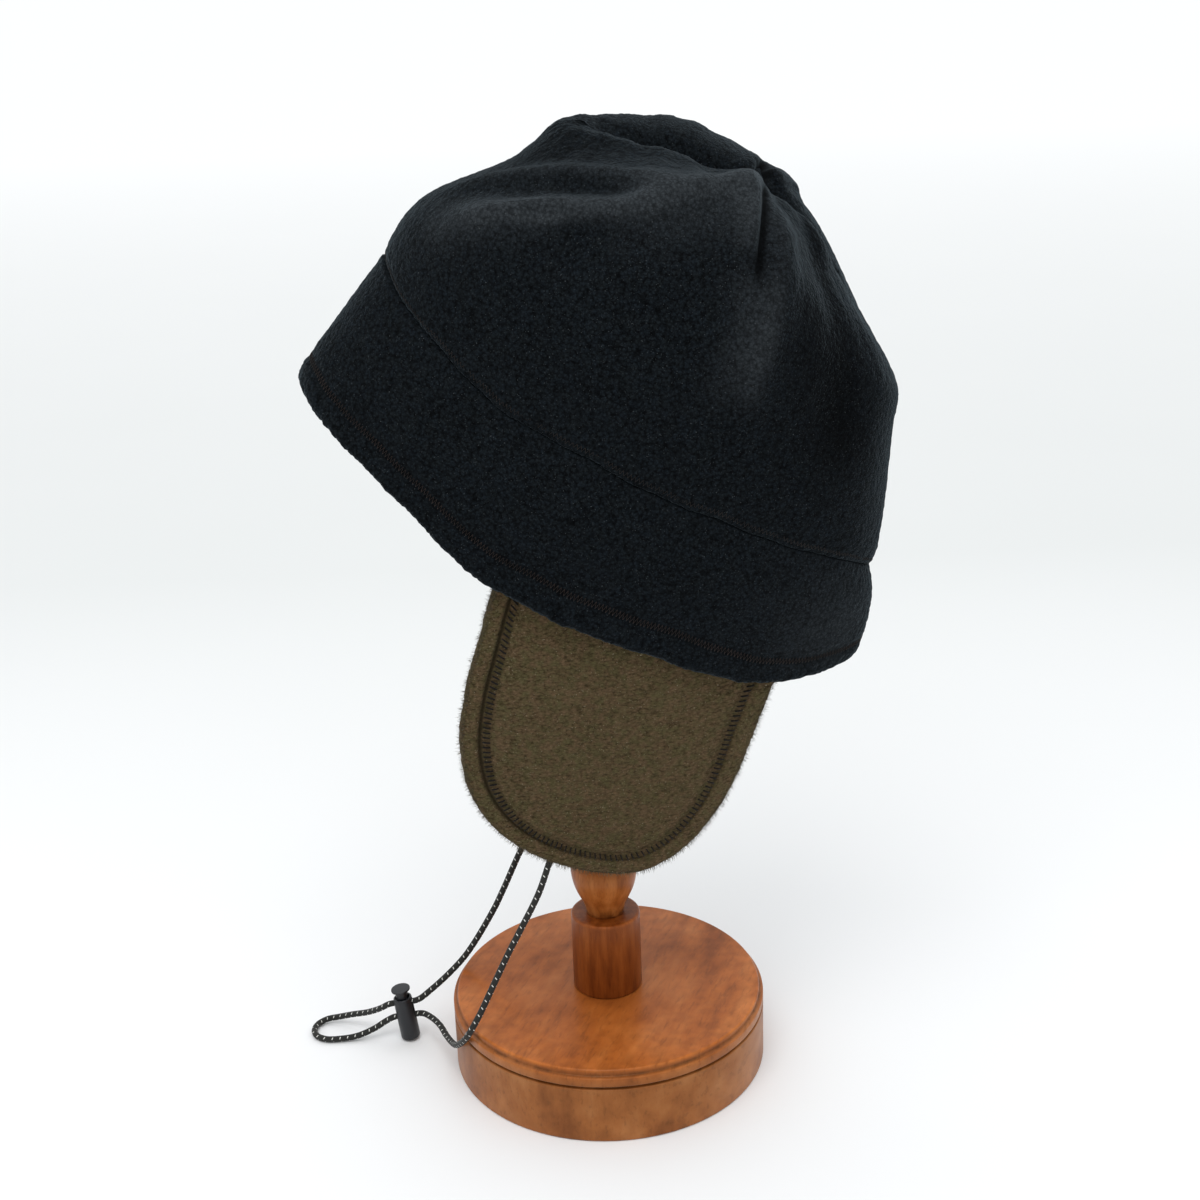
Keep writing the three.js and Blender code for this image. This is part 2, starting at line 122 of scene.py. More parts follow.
# Rows of a grid that are folded flat, and the rows beside them
FIRST_SHUT = ((0, 1),)
BOTH_SHUT = ((0, 1), (-1, -2))
SIDEWAYS = np.array([0, 1, 0])

# Ear flaps
FLAP_THICKNESS = 0.006
FAR_FLAP_SHIFT = 0.004
FLAP_PLAN_CENTRE = -0.012
FLAP_PLAN_REACH = 0.126
FLAP_BORDER = 0.0088
FLAP_STRIP = 0.0054

# Chin cord and its lock
CORD_RADIUS = 0.0015
LOCK_LEAN = math.radians(7)
LOCK_PLACE = (-0.0993, 0.0135, 0.0009)
BARREL_RADIUS = 0.00475
BARREL_HEIGHT = 0.023
BORE_RADIUS = 0.00345
BORE_FLOOR = 0.0046
PLUNGER_RADIUS = 0.0031
PLUNGER_FOOT = 0.0082
CAP_RADIUS = 0.0047
CAP_UNDERSIDE = 0.027
CAP_TOP = 0.028
SLOT_WIDTH = 0.0038
SLOT_BOTTOM = 0.0103
SLOT_TOP = 0.0219
PRESS_TRAVEL = 0.003

# Rings round the hat in its own frame, from the rim up. A ring is an oval from front_x to back_x,
# near_y wide on the wearer's left and far_y on the right. Its height is given at eight angles
# from the back (0) by the side (90) to the front (180), and the far side lies far_rise higher.
KNOT_ANGLES = np.radians([0, 20, 45, 75, 105, 120, 150, 180])
BAND_RINGS = np.array([
    # front_x, back_x, near_y, far_y, far_rise, heights at the knot angles
    [-0.1465, 0.1185, 0.047, 0.047, -0.002, 0.011, 0.005, -0.0095, -0.0127, -0.009, 0.0039, 0.021, 0.029],
    [-0.149, 0.1235, 0.0495, 0.0495, -0.002, 0.014, 0.008, -0.0065, -0.0097, -0.006, 0.0069, 0.024, 0.032],
    [-0.1495, 0.126, 0.0505, 0.0505, -0.002, 0.021, 0.0155, 0.0012, -0.001, 0.0024, 0.0142, 0.0313, 0.04],
    [-0.1455, 0.1235, 0.053, 0.053, -0.002, 0.031, 0.028, 0.0175, 0.0165, 0.018, 0.029, 0.0465, 0.055],
    [-0.1405, 0.1195, 0.0562, 0.0562, -0.002, 0.041, 0.041, 0.036, 0.0355, 0.0395, 0.0465, 0.065, 0.0745],
    [-0.1355, 0.1115, 0.0576, 0.0576, -0.002, 0.0512, 0.0547, 0.0557, 0.0567, 0.0612, 0.0655, 0.0825, 0.0935],
])
CROWN_RINGS = np.array([
    # front_x, back_x, near_y, far_y, far_rise, heights at the knot angles
    [-0.135, 0.112, 0.0577, 0.0577, -0.002, 0.053, 0.0565, 0.0575, 0.0585, 0.063, 0.0673, 0.0843, 0.0953],
    [-0.1352, 0.111, 0.0605, 0.0605, -0.002, 0.061, 0.065, 0.068, 0.0705, 0.0745, 0.079, 0.0905, 0.0995],
    [-0.1345, 0.1055, 0.064, 0.064, -0.002, 0.078, 0.081, 0.086, 0.092, 0.0965, 0.098, 0.102, 0.105],
    [-0.1325, 0.0985, 0.067, 0.067, -0.002, 0.096, 0.1, 0.105, 0.112, 0.116, 0.116, 0.115, 0.114],
    [-0.1275, 0.092, 0.068, 0.068, 0, 0.113, 0.117, 0.123, 0.13, 0.133, 0.131, 0.126, 0.124],
    [-0.119, 0.0875, 0.065, 0.065, 0.003, 0.128, 0.13, 0.137, 0.145, 0.147, 0.144, 0.137, 0.133],
    [-0.11, 0.076, 0.058, 0.058, 0.007, 0.138, 0.142, 0.151, 0.16, 0.16, 0.156, 0.146, 0.141],
    [-0.102, 0.061, 0.047, 0.048, 0.01, 0.148, 0.152, 0.163, 0.171, 0.171, 0.166, 0.155, 0.15],
    [-0.096, 0.048, 0.034, 0.037, 0.0105, 0.158, 0.162, 0.171, 0.179, 0.179, 0.175, 0.165, 0.16],
    [-0.091, 0.036, 0.02, 0.025, 0.008, 0.166, 0.17, 0.177, 0.183, 0.183, 0.18, 0.173, 0.168],
    [-0.086, 0.027, 0.009, 0.012, 0.006, 0.173, 0.175, 0.179, 0.182, 0.181, 0.179, 0.176, 0.175],
    [-0.082, 0.02, 0, 0, 0, 0.178, 0.178, 0.179, 0.179, 0.178, 0.178, 0.178, 0.178],
])
SEAM_ROW = len(CROWN_RINGS) - 1
# Ripples in the rings' height: size, waves in a full turn, and start
RING_WAVES = ((0.0005, 11, 1), (0.0003, 27, 0))

# Path of the ridge over the crown's near side
NEAR_RIDGE = [
    [-0.1187, -0.0299, 0.1209], [-0.1049, -0.0392, 0.1306], [-0.0964, -0.0425, 0.1366],
    [-0.0876, -0.0449, 0.1428], [-0.0771, -0.0478, 0.1488], [-0.066, -0.0511, 0.1533],
    [-0.055, -0.0532, 0.1575], [-0.0452, -0.051, 0.1646], [-0.0353, -0.0453, 0.1722],
    [-0.0239, -0.0377, 0.178], [-0.0157, -0.0307, 0.1809], [-0.0085, -0.0145, 0.183],
]

# Folds: each lifts the cloth by its height along a path and fades over its width. Fade is the share
# of the path, at either end, in which the fold runs out.
CROWN_FOLDS = [
    # height, width, fade, path
    (0.0052, 0.0075, 0.1, NEAR_RIDGE),
    (0.0036, 0.0055, 0.15, [
        [-0.1262, -0.0075, 0.125], [-0.1094, -0.0186, 0.1394], [-0.101, -0.0227, 0.1458],
        [-0.0909, -0.0277, 0.1526], [-0.0805, -0.0327, 0.1587], [-0.0697, -0.0376, 0.1632],
        [-0.0588, -0.0406, 0.1675], [-0.0481, -0.0422, 0.1716], [-0.0365, -0.0405, 0.1755]]),
    (-0.0024, 0.006, 0.3, [
        [-0.1067, -0.0331, 0.1348], [-0.0967, -0.0373, 0.1415], [-0.0869, -0.0394, 0.1485],
        [-0.0766, -0.0423, 0.1546], [-0.0661, -0.0452, 0.1594], [-0.0556, -0.0464, 0.1644],
        [-0.0469, -0.0462, 0.1687]]),
    (0.0018, 0.009, 0.3, [
        [-0.096, 0, 0.164], [-0.0885, 0.004, 0.17], [-0.082, 0.0095, 0.1755], [-0.075, 0.0165, 0.179]]),
    (0.0015, 0.006, 0, [[-0.083, 0.003, 0.1755], [-0.0775, 0.004, 0.1775]]),
    (-0.0026, 0.0032, 0.3, [
        [-0.0935, -0.0442, 0.1368], [-0.0865, -0.0467, 0.1405], [-0.0795, -0.0488, 0.1445],
        [-0.0735, -0.0502, 0.1482]]),
    (0.0018, 0.0035, 0.3, [
        [-0.0906, -0.0465, 0.1356], [-0.0833, -0.0497, 0.1396], [-0.0766, -0.0515, 0.1438],
        [-0.0705, -0.0518, 0.1485], [-0.0642, -0.0512, 0.154]]),
    (-0.005, 0.02, 0.3, [[-0.095, -0.06, 0.126], [-0.075, -0.062, 0.136], [-0.05, -0.058, 0.146]]),
    (-0.0035, 0.011, 0.2, [
        [-0.085, -0.014, 0.166], [-0.06, -0.022, 0.174], [-0.04, -0.024, 0.179], [-0.018, -0.017, 0.183]]),
    (-0.004, 0.006, 0, [
        [-0.082, 0.002, 0.176], [-0.06, 0.002, 0.178], [-0.039, 0.002, 0.179], [-0.021, 0, 0.18],
        [-0.004, 0, 0.18]]),
    (-0.004, 0.007, 0, [
        [0.004, 0, 0.18], [0.024, 0, 0.176], [0.04, 0, 0.166], [0.06, 0, 0.15], [0.085, 0, 0.13]]),
    (0.004, 0.009, 0.2, [
        [0.001, -0.028, 0.182], [0.007, -0.045, 0.17], [0.012, -0.06, 0.15], [0.017, -0.068, 0.12],
        [0.024, -0.068, 0.092]]),
    (0.0042, 0.0075, 0.1, [
        [-0.0095, -0.004, 0.187], [-0.0105, -0.016, 0.187], [-0.011, -0.03, 0.182],
        [-0.01, -0.046, 0.171], [-0.007, -0.058, 0.154]]),
    (-0.005, 0.02, 0, [[0.034, -0.036, 0.164], [0.048, -0.045, 0.142], [0.058, -0.05, 0.12]]),
    (0.003, 0.008, 0.2, [
        [0.002, -0.01, 0.187], [0.014, -0.015, 0.184], [0.024, -0.018, 0.178], [0.038, -0.02, 0.167]]),
    (-0.0045, 0.006, 0, [[0.085, -0.003, 0.13], [0.103, -0.003, 0.092], [0.113, -0.003, 0.056]]),
    (0.0025, 0.01, 0, [[0.092, 0.014, 0.118], [0.102, 0.014, 0.092], [0.11, 0.014, 0.058]]),
    (0.0035, 0.008, 0.1, [[0.002, 0.012, 0.187], [0.008, 0.022, 0.184], [0.014, 0.027, 0.18]]),
]
# Sewn darts of the crown: each is a narrow slit where the cloth is drawn in.
CROWN_DARTS = [
    (-0.0022, 0.0018, 0.3, [
        [-0.0045, -0.006, 0.187], [-0.0048, -0.016, 0.186], [-0.0048, -0.031, 0.1796],
        [-0.003, -0.045, 0.172], [-0.001, -0.054, 0.164], [0.002, -0.06, 0.156], [0.0036, -0.062, 0.151]]),
    (-0.0065, 0.0026, 0.1, [
        [-0.0025, 0.004, 0.185], [-0.0028, 0.018, 0.187], [-0.0028, 0.032, 0.186], [-0.002, 0.045, 0.177],
        [0, 0.058, 0.16]]),
]
# Painted highlights on the crown beyond the folds' crests, and painted shade where the strength is below
# zero.
CROWN_PAINTED_LIGHT = [
    # strength, width, fade, path
    (0.5, 0.016, 0, [[-0.0452, -0.051, 0.1646], [-0.0215, -0.0435, 0.1745], [-0.0117, -0.0372, 0.1778]]),
    (0.5, 0.009, 0.3, [
        [-0.004, -0.056, 0.162], [0.0018, -0.0623, 0.1504], [0.0077, -0.0655, 0.1366],
        [0.0085, -0.0659, 0.1198], [0.0091, -0.0634, 0.0971]]),
    (0.55, 0.011, 0, NEAR_RIDGE[:4]),
    (0.42, 0.011, 0, [
        [-0.073, 0.018, 0.178], [-0.058, 0.024, 0.182], [-0.042, 0.027, 0.187], [-0.02, 0.027, 0.187]]),
    (-1, 0.019, 0, [
        [0.0245, -0.034, 0.167], [0.033, -0.044, 0.153], [0.045, -0.049, 0.137], [0.058, -0.05, 0.12],
        [0.066, -0.047, 0.108]]),
    (-0.5, 0.01, 0, [[-0.0985, -0.0115, 0.151], [-0.0855, -0.0145, 0.1635], [-0.0715, -0.0215, 0.1675]]),
]
BAND_FOLDS = [
    (-0.004, 0.006, 0, [[0.122, -0.003, 0.018], [0.121, -0.003, 0.034], [0.113, -0.003, 0.05]]),
    (0.0025, 0.01, 0, [[0.12, 0.014, 0.022], [0.117, 0.014, 0.036], [0.109, 0.014, 0.05]]),
]

# Outline of an ear flap in the hat's frame, x and z, from the top front corner round the tip.
FLAP_OUTLINE = [
    [-0.041, 0.014], [-0.041, -0.008], [-0.038, -0.035], [-0.034, -0.062], [-0.026, -0.088],
    [-0.012, -0.11], [0.008, -0.124], [0.032, -0.1295], [0.058, -0.1275], [0.077, -0.12],
    [0.09, -0.104], [0.0965, -0.08], [0.097, -0.058], [0.0945, -0.036], [0.092, -0.015], [0.088, 0.013],
]
# Depth of the flap's outer face at its middle, by height.
FLAP_DEPTH = np.array([
    # z, depth
    [-0.13, 0.03], [-0.095, 0.035], [-0.06, 0.0395], [-0.03, 0.0418], [-0.008, 0.0424],
    [0.006, 0.043], [0.02, 0.044],
])
FLAP_SPINE = np.array([[0.025, 0, -0.026], [0.031, 0, -0.078]])

# Route of the cord's middle, from the near flap's tip down to the lock, round its loop on the
# table, back through the lock and up to the far flap's tip.
CORD_ROUTE = [
    [-0.0244, -0.0256, 0.1182], [-0.0302, -0.0282, 0.103], [-0.04, -0.032, 0.085],
    [-0.0453, -0.034, 0.0755], [-0.0543, -0.039, 0.0585], [-0.059, -0.0415, 0.0495],
    [-0.0633, -0.043, 0.042], [-0.0668, -0.0405, 0.035], [-0.072, -0.0295, 0.024],
    [-0.0756, -0.0175, 0.0168], [-0.0796, -0.007, 0.0144], [-0.083, 0.001, 0.0146],
    [-0.088, 0.009, 0.0142], [-0.0928, 0.0132, 0.014], [-0.0993, 0.0135, 0.0131],
    [-0.1067, 0.0135, 0.0123], [-0.111, 0.0137, 0.01], [-0.117, 0.0137, 0.006],
    [-0.1255, 0.0125, 0.0028], [-0.133, 0.012, 0.0018], [-0.141, 0.012, 0.0017],
    [-0.1462, 0.015, 0.0017], [-0.1483, 0.02, 0.0017], [-0.1474, 0.025, 0.0018],
    [-0.143, 0.0286, 0.0024], [-0.1365, 0.0283, 0.0038], [-0.1293, 0.0254, 0.0068],
    [-0.1205, 0.0206, 0.011], [-0.1134, 0.0156, 0.0163], [-0.1084, 0.0137, 0.0198],
    [-0.1017, 0.0135, 0.0207], [-0.0946, 0.0136, 0.0217], [-0.0875, 0.015, 0.0265],
    [-0.0777, 0.017, 0.0348], [-0.069, 0.02, 0.0435], [-0.055, 0.024, 0.065],
    [-0.0495, 0.025, 0.076], [-0.038, 0.0266, 0.1], [-0.03, 0.0264, 0.111],
    [-0.0246, 0.0257, 0.1179],
]


# Surfaces and grids

def unit(vectors):
    """Vectors made one long."""
    return vectors / np.maximum(norm(vectors, axis=-1, keepdims=True), 1e-12)


def bell(distance, width):
    """Bell curve, 1 in the middle."""
    return np.exp(-(distance / width) ** 2)


def even_turn(count):
    """Angles that share out a full turn."""
    return FULL_TURN * np.arange(count) / count


def hermite(start, end, leave, arrive, share):
    """Cubic from start to end that leaves and arrives with the given slopes."""
    rise = end - start
    square = 3 * rise - 2 * leave - arrive
    cube = leave + arrive - 2 * rise
    return start + share * (leave + share * (square + share * cube))


def spline_points(route, steps_each, closed=False):
    """Points along a centripetal Catmull-Rom curve: cubics whose slopes at each point come from the
    square roots of the distances to its neighbours."""
    route = np.array(route, float)
    if closed:
        padded = np.vstack([route[-1:], route, route[:2]])
    else:
        padded = np.vstack([2 * route[0] - route[1], route, 2 * route[-1] - route[-2]])
    before, start, end, after = padded[:-3], padded[1:-2], padded[2:-1], padded[3:]
    gap_before, gap, gap_after = (norm(run, axis=1)[:, None] ** 0.5
                                  for run in (start - before, end - start, after - end))
    leave = (start - before) / gap_before - (end - before) / (gap_before + gap) + (end - start) / gap
    arrive = (end - start) / gap - (after - start) / (gap + gap_after) + (after - end) / gap_after
    share = (np.arange(steps_each) / steps_each)[None, :, None]
    curve = hermite(*(each[:, None] for each in (start, end, leave * gap, arrive * gap)), share)
    curve = curve.reshape(-1, route.shape[1])
    return curve if closed else np.vstack([curve, route[-1:]])


def distances(curve):
    """How far along a polyline each of its points lies."""
    return np.concatenate([[0], np.cumsum(norm(np.diff(curve, axis=0), axis=1))])


def points_at(curve, at):
    """Points of a polyline at given distances along it."""
    far = distances(curve)
    return np.stack([np.interp(at, far, values) for values in curve.T], axis=1)


def rows_at(rows, place):
    """Values of a table between its rows: a Catmull-Rom cubic through the four rows round a place."""
    last = len(rows) - 1
    place = np.clip(place, 0, last)
    index = np.minimum(place.astype(int), last - 1)
    before, start, end, after = (rows[np.clip(index + step, 0, last)] for step in (-1, 0, 1, 2))
    return hermite(start, end, (end - before) / 2, (after - start) / 2, (place - index)[..., None])


def ring_height(heights, angle):
    """Height of a ring at an angle: a cubic through the knots, level at the back and the front."""
    last = len(KNOT_ANGLES) - 1
    slopes = np.zeros_like(heights)
    slopes[..., 1:last] = (heights[..., 2:] - heights[..., :-2]) / (KNOT_ANGLES[2:] - KNOT_ANGLES[:-2])
    index = np.clip(np.searchsorted(KNOT_ANGLES, angle, side="right") - 1, 0, last - 1)
    span = KNOT_ANGLES[index + 1] - KNOT_ANGLES[index]
    low, high, leave, arrive = (np.take_along_axis(values, at[..., None], -1)[..., 0]
                                for values in (heights, slopes) for at in (index, index + 1))
    return hermite(low, high, leave * span, arrive * span, (angle - KNOT_ANGLES[index]) / span)


def ring_point(rings, place, angle):
    """Point of a ring table: an oval of cosines and sines in plan, at its ring's height, which waves
    a little round the sides."""
    row = rows_at(rings, place)
    front_x, back_x, near_y, far_y, far_rise = (row[..., k] for k in range(5))
    turn = np.mod(angle, FULL_TURN)
    near = turn <= math.pi
    side = np.where(near, turn, FULL_TURN - turn)
    x = (front_x + back_x) / 2 + (back_x - front_x) / 2 * np.cos(side)
    y = np.where(near, -near_y, far_y) * np.sin(side)
    z = ring_height(row[..., 5:], side) + np.where(near, 0, far_rise) * np.sin(side) ** 2
    for size, waves, start in RING_WAVES:
        z = z + size * np.sin(side) * np.sin(waves * side + start)
    return np.stack([x, y, z], axis=-1)


def outward(rings, place, angle):
    """Outward direction of a ring table's surface; on the crown's top seam, midway between its sides."""
    step, under_seam = 0.02, 0.6
    crown = rings is CROWN_RINGS
    level = np.minimum(place, SEAM_ROW - under_seam) if crown else place

    def across(turn):
        up = ring_point(rings, level + step, turn) - ring_point(rings, level - step, turn)
        along = ring_point(rings, level, turn + step) - ring_point(rings, level, turn - step)
        return unit(np.cross(up, along))

    direction = across(angle)
    if crown:
        direction = np.where((place >= SEAM_ROW)[..., None], unit(direction + across(-angle)), direction)
    return direction


def fold_lift(points, folds):
    """How far folds lift the cloth: each height times a bell of the distance to its path, less over
    its fading ends."""
    lift = np.zeros(points.shape[:-1])
    for height, width, fade, path in folds:
        nearest = np.full(points.shape[:-1], np.inf)
        along = np.zeros(points.shape[:-1])
        path = np.array(path, float)
        for number, (start, end) in enumerate(zip(path[:-1], path[1:])):
            run = end - start
            share = np.clip((points - start) @ run / (run @ run), 0, 1)
            distance = norm(points - start - share[..., None] * run, axis=-1)
            along = np.where(distance < nearest, (number + share) / (len(path) - 1), along)
            nearest = np.minimum(nearest, distance)
        ends = np.clip(np.minimum(along, 1 - along) / fade, 0, 1) if fade else 1
        lift += height * ends * bell(nearest, width)
    return lift


def crown_point(place, angle, inset):
    """Point of the crown, folds included, a given way in from its outer face."""
    point = ring_point(CROWN_RINGS, place, angle)
    return point + outward(CROWN_RINGS, place, angle) * (fold_lift(point, CROWN_FOLDS) - inset)[..., None]


def band_point(place, angle, inset):
    """Point of the band, folds included, a given way in and level with its ring."""
    point = ring_point(BAND_RINGS, place, angle)
    direction = unit(outward(BAND_RINGS, np.maximum(place, BAND_LOWEST_SLOPE), angle) * [1, 1, 0])
    return point + direction * (fold_lift(point, BAND_FOLDS) - inset)[..., None]


def hat_to_stand(points):
    """Points of the hat's tilted frame in the stand's frame: a turn about Y, then a lift."""
    along, up = math.cos(HAT_TILT), math.sin(HAT_TILT)
    return points @ np.array([[along, 0, -up], [0, 1, 0], [up, 0, along]]) + [0, 0, HAT_HEIGHT]


def grid_places(levels, columns):
    """Place and angle of each point of a grid round the hat."""
    return np.meshgrid(levels, even_turn(columns), indexing="ij")


def lattice_noise(points, cell, seed):
    """Smooth noise from -1 to 1: random values on a cubic lattice of the cell's size, blended
    between its corners by smooth steps."""
    values = np.random.default_rng(seed).uniform(-1, 1, NOISE_VALUES)
    spot = points / cell
    corner = np.floor(spot).astype(np.int64)
    share = spot - corner
    share = share * share * (3 - 2 * share)
    total = np.zeros(points.shape[:-1])
    for step in np.ndindex(2, 2, 2):
        index = np.bitwise_xor.reduce((corner + step) * NOISE_PRIMES, axis=-1) % NOISE_VALUES
        total += values[index] * np.prod(np.where(step, share, 1 - share), axis=-1)
    return total


def nap(points, height):
    """Relief of napped fleece: broad unevenness, rounded clumps parted by sharp hollows, and fine
    tufts on them."""
    relief = 0.4 * lattice_noise(points, 0.011, 10) + 0.5 * lattice_noise(points, 0.0014, 13)
    for share, cell, seed in ((0.7, 0.003, 11), (0.8, 0.002, 12)):
        relief += share * (np.sqrt(np.abs(lattice_noise(points, cell, seed))) - 0.55)
    return height * relief


def napped(points, height, kept, shut=()):
    """Grid that wraps round its columns, with the nap's relief on it at the share that is kept. The
    relief stands along the cross product of the grid's two central differences. A shut row is folded
    flat, so its halves share the row beside's direction."""
    along = np.roll(points, -1, axis=1) - np.roll(points, 1, axis=1)
    normal = unit(np.cross(along, np.gradient(points, axis=0)))
    for row, beside in shut:
        normal[row] = unit(normal[beside] + np.roll(normal[beside, ::-1], 1, axis=0))
    return points + normal * (nap(points, height) * kept)[..., None]


def rolled(outer, inner, run, depth, rows, power=1):
    """Rows from the outer face's last row round to the inner face's first: half a superellipse, with
    cosines across and sines down to the depth, both to a power. With them, their way from its middle."""
    sweep = np.linspace(0, math.pi, rows + 2)[1:-1, None, None]
    across = (outer[-1] - inner[0]) / 2 * np.sign(np.cos(sweep)) * np.abs(np.cos(sweep)) ** power
    turned = across + depth * unit(outer[-1] - outer[-1 - run]) * np.sin(sweep) ** power
    return (outer[-1] + inner[0]) / 2 + turned, turned


def section(heading, upright, corners):
    """Directions round lines, at angles in the plane square to each, and the way up from each line.
    Both come from cross products of the heading with an upright."""
    across = unit(np.cross(upright, heading))
    above = np.cross(heading, across)
    ring = across[:, None] * np.cos(corners)[:, None] + above[:, None] * np.sin(corners)[:, None]
    return ring, above


def wrapped_faces(rows, columns):
    """Quads of a grid that wraps round its columns."""
    row, column = np.meshgrid(np.arange(rows - 1), np.arange(columns), indexing="ij")
    beside = (column + 1) % columns
    corners = [row * columns + column, row * columns + beside,
               (row + 1) * columns + beside, (row + 1) * columns + column]
    return np.stack(corners, axis=-1).reshape(-1, 4)


def make_mesh(name, points, quads):
    """Mesh with smooth faces from points and quads. A quad that repeats a corner becomes a triangle."""
    quads = np.asarray(quads)
    repeated = [quads[:, k] == quads[:, (k + 1) % 4] for k in range(4)]
    whole = quads[~np.any(repeated, axis=0)]
    triangles = np.vstack([np.delete(quads[same], k, axis=1) for k, same in enumerate(repeated)])
    loops = np.concatenate([whole.ravel(), triangles.ravel()]).astype(np.int32)
    sizes = np.repeat([4, 3], [len(whole), len(triangles)])
    mesh = bpy.data.meshes.new(name)
    mesh.vertices.add(len(points))
    mesh.vertices.foreach_set("co", np.ascontiguousarray(points, np.float32).ravel())
    mesh.loops.add(len(loops))
    mesh.loops.foreach_set("vertex_index", loops)
    mesh.polygons.add(len(sizes))
    mesh.polygons.foreach_set("loop_start", (np.cumsum(sizes) - sizes).astype(np.int32))
    mesh.polygons.foreach_set("use_smooth", np.ones(len(sizes), bool))
    mesh.update(calc_edges=True)
    mesh.validate()
    return mesh


def new_object(name, data):
    """Object in the scene with the given data."""
    made = bpy.data.objects.new(name, data)
    bpy.context.scene.collection.objects.link(made)
    return made


def claim(piece, body, nodes=()):
    """Let a piece ride on a body and the solids that it replaces."""
    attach(piece, body)
    if nodes:
        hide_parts(*nodes)
    return piece


def add_piece(name, points, quads, finish, slot=None, nodes=(), **layers):
    """Piece of the hat on its stand: a mesh with its finish. Each layer gives a value to every point:
    pressed, where seams flatten the nap and painted shade darkens their grooves, opened, painted highlights
    on lit crests and painted shade on shaded facets, and worn, where wood is rubbed and carries painted
    highlights and shade."""
    piece = new_object(name, make_mesh(name, points, quads))
    piece.data.materials.append(finish)
    for key, values in layers.items():
        layer = piece.data.attributes.new(key, "FLOAT", "POINT")
        layer.data.foreach_set("value", np.ascontiguousarray(values, np.float32))
    return claim(piece, BODY, nodes)


def without_spare(points, quads, *values):
    """Points that the quads use, the quads renumbered, and values kept for those points."""
    used = np.unique(quads)
    place = np.zeros(len(points), int)
    place[used] = np.arange(len(used))
    return (points[used], place[quads], *(value[used] for value in values))


def add_cloth(name, points, finish, slot, nodes, shut, **layers):
    """Piece from a wrapped grid of points in the hat's frame. When shut, both its end rows are folded
    flat, and otherwise the last meets the first. Layers cover the first rows, and the rest have none."""
    rows, columns = points.shape[:2]
    values = [np.vstack([each, np.zeros((rows - len(each), columns))]).ravel() for each in layers.values()]
    column = np.arange(columns)
    target = np.arange((rows + 1) * columns).reshape(-1, columns)
    target[-1] = column
    if shut:
        target[[0, rows - 1]] = target[[0, rows - 1], :1] + np.minimum(column, -column % columns)
    quads = target.ravel()[wrapped_faces(rows if shut else rows + 1, columns)]
    points, quads, *values = without_spare(hat_to_stand(points).reshape(-1, 3), quads, *values)
    add_piece(name, points, quads, finish, slot, nodes, **dict(zip(layers, values)))


def add_copies(name, points, quads, finish):
    """Piece from many parts that are built alike: the points of each in the hat's frame, and the
    quads of the first."""
    count, size = points.shape[:2]
    quads = (size * np.arange(count)[:, None, None] + quads).reshape(-1, 4)
    add_piece(name, hat_to_stand(points).reshape(-1, 3), quads, finish)


# Finishes

def feed(target, value):
    """Link a socket to an input, or set the input to a value."""
    if isinstance(value, bpy.types.NodeSocket):
        target.id_data.links.new(value, target)
    else:
        target.default_value = value


def node(kind, inputs, tree=None, **settings):
    """Outputs of a new shader node with its settings and inputs, in the tree of the linked inputs."""
    sockets = [value for value in inputs.values() if isinstance(value, bpy.types.NodeSocket)]
    made = (tree or sockets[0].id_data).nodes.new(kind)
    for name, value in settings.items():
        setattr(made, name, value)
    for name, value in inputs.items():
        feed(made.inputs[name], value)
    return made.outputs


def new_finish(name):
    """Material, and the socket with the place on the piece."""
    finish = bpy.data.materials.new(name)
    finish.use_nodes = True
    return finish, node("ShaderNodeTexCoord", {}, finish.node_tree)["Object"]


def shaded(finish, **inputs):
    """Finish with its shader's inputs linked or set."""
    shader = finish.node_tree.nodes["Principled BSDF"]
    for key, value in inputs.items():
        feed(shader.inputs[key.replace("_", " ")], value)
    return finish


def noise(place, scale, detail=2.0, roughness=0.5, output="Fac"):
    """Socket of a noise texture."""
    inputs = {"Vector": place, "Scale": scale, "Detail": detail, "Roughness": roughness}
    return node("ShaderNodeTexNoise", inputs)[output]


def remap(value, low, high, out_low=0.0, out_high=1.0):
    """Value carried from one range to another, and kept inside it."""
    inputs = {"Value": value, "From Min": low, "From Max": high, "To Min": out_low, "To Max": out_high}
    return node("ShaderNodeMapRange", inputs)["Result"]


def math_node(operation, *values):
    """Socket of an operation on numbers."""
    return node("ShaderNodeMath", dict(enumerate(values)), operation=operation)["Value"]


def weighted(total, *terms):
    """Socket of a total plus each of the terms, a socket and its weight."""
    for socket, weight in terms:
        total = math_node("MULTIPLY_ADD", socket, weight, total)
    return total


def vector_node(operation, inputs):
    """Socket of an operation on vectors or colours."""
    return node("ShaderNodeVectorMath", inputs, operation=operation)["Vector"]


def layer_value(finish, name):
    """Socket of a layer of the piece."""
    return node("ShaderNodeAttribute", {}, finish.node_tree, attribute_name=name)["Fac"]


def axes_of(vector):
    """Sockets X, Y and Z of a vector."""
    return node("ShaderNodeSeparateXYZ", {"Vector": vector})


def scaled(colour, *shares):
    """Colour with its channels times one share, or each times its own."""
    return tuple(np.multiply(colour, shares).tolist())


def mix_colour(share, first, second):
    """Socket of a colour between two, each a colour or a socket."""
    first, second = (each if isinstance(each, bpy.types.NodeSocket) else (*each, 1)
                     for each in (first, second))
    return node("ShaderNodeMix", {0: share, 6: first, 7: second}, data_type="RGBA")[2]


def bump(height, distance, strength):
    """Socket of a bumped normal, from a height and the depth it stands for."""
    inputs = {"Height": height, "Distance": distance, "Strength": strength}
    return node("ShaderNodeBump", inputs)["Normal"]


